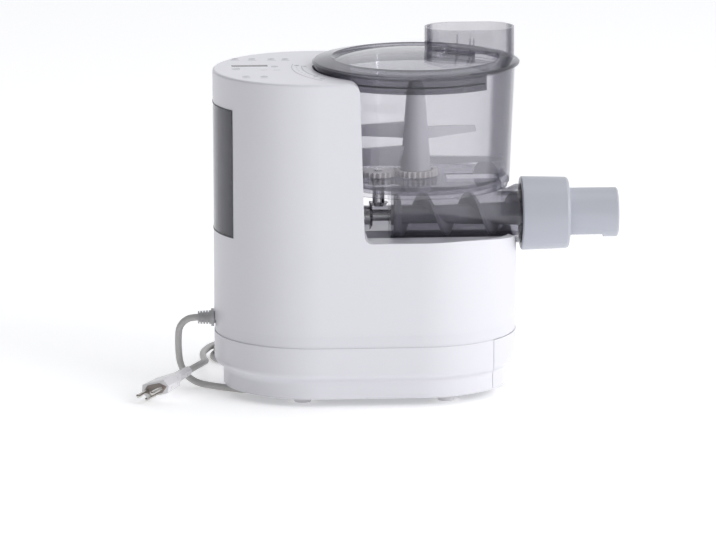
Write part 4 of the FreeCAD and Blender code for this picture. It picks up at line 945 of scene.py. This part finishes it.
@dataclass
class TankWindow:
    """Dark seal line round the tank's window in the rear wall, half_angle degrees each way."""

    axis_x: float = -102.0 * MM
    radius: float = 100.35 * MM
    half_angle: float = 34.55
    low: float = 165.0 * MM
    high: float = 294.0 * MM
    line: float = 1.3 * MM
    depth: float = 0.9 * MM
    upright_inset: float = 0.35
    softening: float = 0.15 * MM

    def build(self) -> None:
        """Make the outline: two arcs and two uprights."""
        parts = []
        for z in (self.low + self.line / 2, self.high - self.line / 2):
            parts.append(swept_bar((self.axis_x, 0, z), self.radius, self.depth, self.line,
                                   180.0 - self.half_angle, 2 * self.half_angle, steps=32))
        for side in (-1, 1):
            turn = math.radians(180.0 - side * (self.half_angle - self.upright_inset))
            upright = bevelled_block((-self.depth / 2, -self.line / 2, self.low),
                                     (self.depth / 2, self.line / 2, self.high), self.softening)
            upright.rotation_euler = (0, 0, turn)
            upright.location = (self.axis_x + self.radius * math.cos(turn),
                                self.radius * math.sin(turn), 0)
            rest_place(upright)
            parts.append(upright)
        dress(join(parts), "tank_window_seal", "machine", Finish.OUTLINE)


@dataclass
class LidDetails:
    """The lid's sealing line round its skirt, and the ribs that stand in the chute."""

    skirt_radius: float = 102.1 * MM
    seal_height: float = 321.6 * MM
    seal_width: float = 0.9 * MM
    seal_thickness: float = 1.5 * MM
    seal_start: float = 52.0
    seal_sweep: float = 256.0
    rib_foot: float = 333.5
    rib_size: tuple[float, float] = (1.5, 3.2)
    ribs: tuple[Point, ...] = ((40.0, -11.6, 359.0), (52.6, -12.6, 354.6), (56.4, -12.4, 354.6))

    def rib(self, x: float, y: float, top: float) -> bpy.types.Object:
        """Make an upright rib.

        Args:
            x: Its rear face, in millimetres.
            y: Its near face, in millimetres.
            top: Its upper end, in millimetres.

        Returns:
            The rib.
        """
        wide, deep = self.rib_size
        return bevelled_block((x * MM, y * MM, self.rib_foot * MM),
                              ((x + wide) * MM, (y + deep) * MM, top * MM), 0.3 * MM)

    def build(self) -> None:
        """Make the seal line and the ribs."""
        seal = swept_bar((0, 0, self.seal_height), self.skirt_radius, self.seal_width,
                         self.seal_thickness, self.seal_start, self.seal_sweep, steps=128)
        dress(seal, "skirt_seal_line", "lid", Finish.OUTLINE)
        dress(join([self.rib(*rib) for rib in self.ribs]), "chute_ribs", "lid",
              Finish.SMOKY_CHUTE)


@dataclass
class MainsPlug:
    """The moulded plug: a softened copy of its solid with an inset face round the contacts."""

    tail: Point = (-229.0, -9.0, 21.0)
    along: Point = (-0.6, -0.789, -0.14)
    roll: float = 17.0
    face_at: float = 57.9 * MM
    face_size: Point = (0.9 * MM, 15.6 * MM, 6.0 * MM)

    def frame_matrix(self) -> Matrix:
        """Work out how the plug lies.

        Returns:
            Its place, with its length along X and its width along Y.
        """
        along = Vector(self.along).normalized()
        level = along.cross(Vector((0, 0, 1))).normalized()
        across = Quaternion(along, math.radians(self.roll)) @ level
        up = along.cross(across)
        turn = Matrix((along, across, up)).transposed().to_4x4()
        return Matrix.Translation(Vector(self.tail) * MM) @ turn

    def build(self) -> None:
        """Make the body and its face."""
        body = softened_copy("mains_plug", bevel=1.6 * MM, segments=3)
        dress(body, "plug_body", "machine", Finish.PLUG)
        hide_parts("mains_plug")
        clear_selection()
        bpy.ops.mesh.primitive_cylinder_add(vertices=6, radius=1.0, depth=1.0)
        face = bpy.context.object
        edit(face)
        bpy.ops.transform.rotate(value=math.pi / 2, orient_axis="Y", center_override=(0, 0, 0))
        bpy.ops.mesh.select_all(action="SELECT")
        bpy.ops.mesh.bevel(offset=0.04, segments=2, affect="EDGES")
        settle(face)
        face.matrix_world = (self.frame_matrix() @ Matrix.Translation((self.face_at, 0, 0))
                             @ Matrix.Diagonal((*self.face_size, 1.0)))
        rest_place(face)
        dress(face, "plug_face", "machine", Finish.PLUG_FACE)


# Whole machine

def dress_nodes() -> None:
    """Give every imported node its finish."""
    for name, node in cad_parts.items():
        material = NODE_FINISHES[name].material()
        for slot in node.material_slots:
            slot.material = material
        LOG.info("node %s: %s", name, material.name)


def main() -> None:
    """Build the scene around the frame."""
    logging.basicConfig(level=logging.INFO, format="%(name)s: %(message)s")
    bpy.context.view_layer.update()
    Studio().build()
    for part in (MainsPlug(), MainsCord(), TouchPanel(), TankWindow(), LidDetails()):
        part.build()
    dress_nodes()
    clear_selection()


if __name__ == "__main__":
    main()
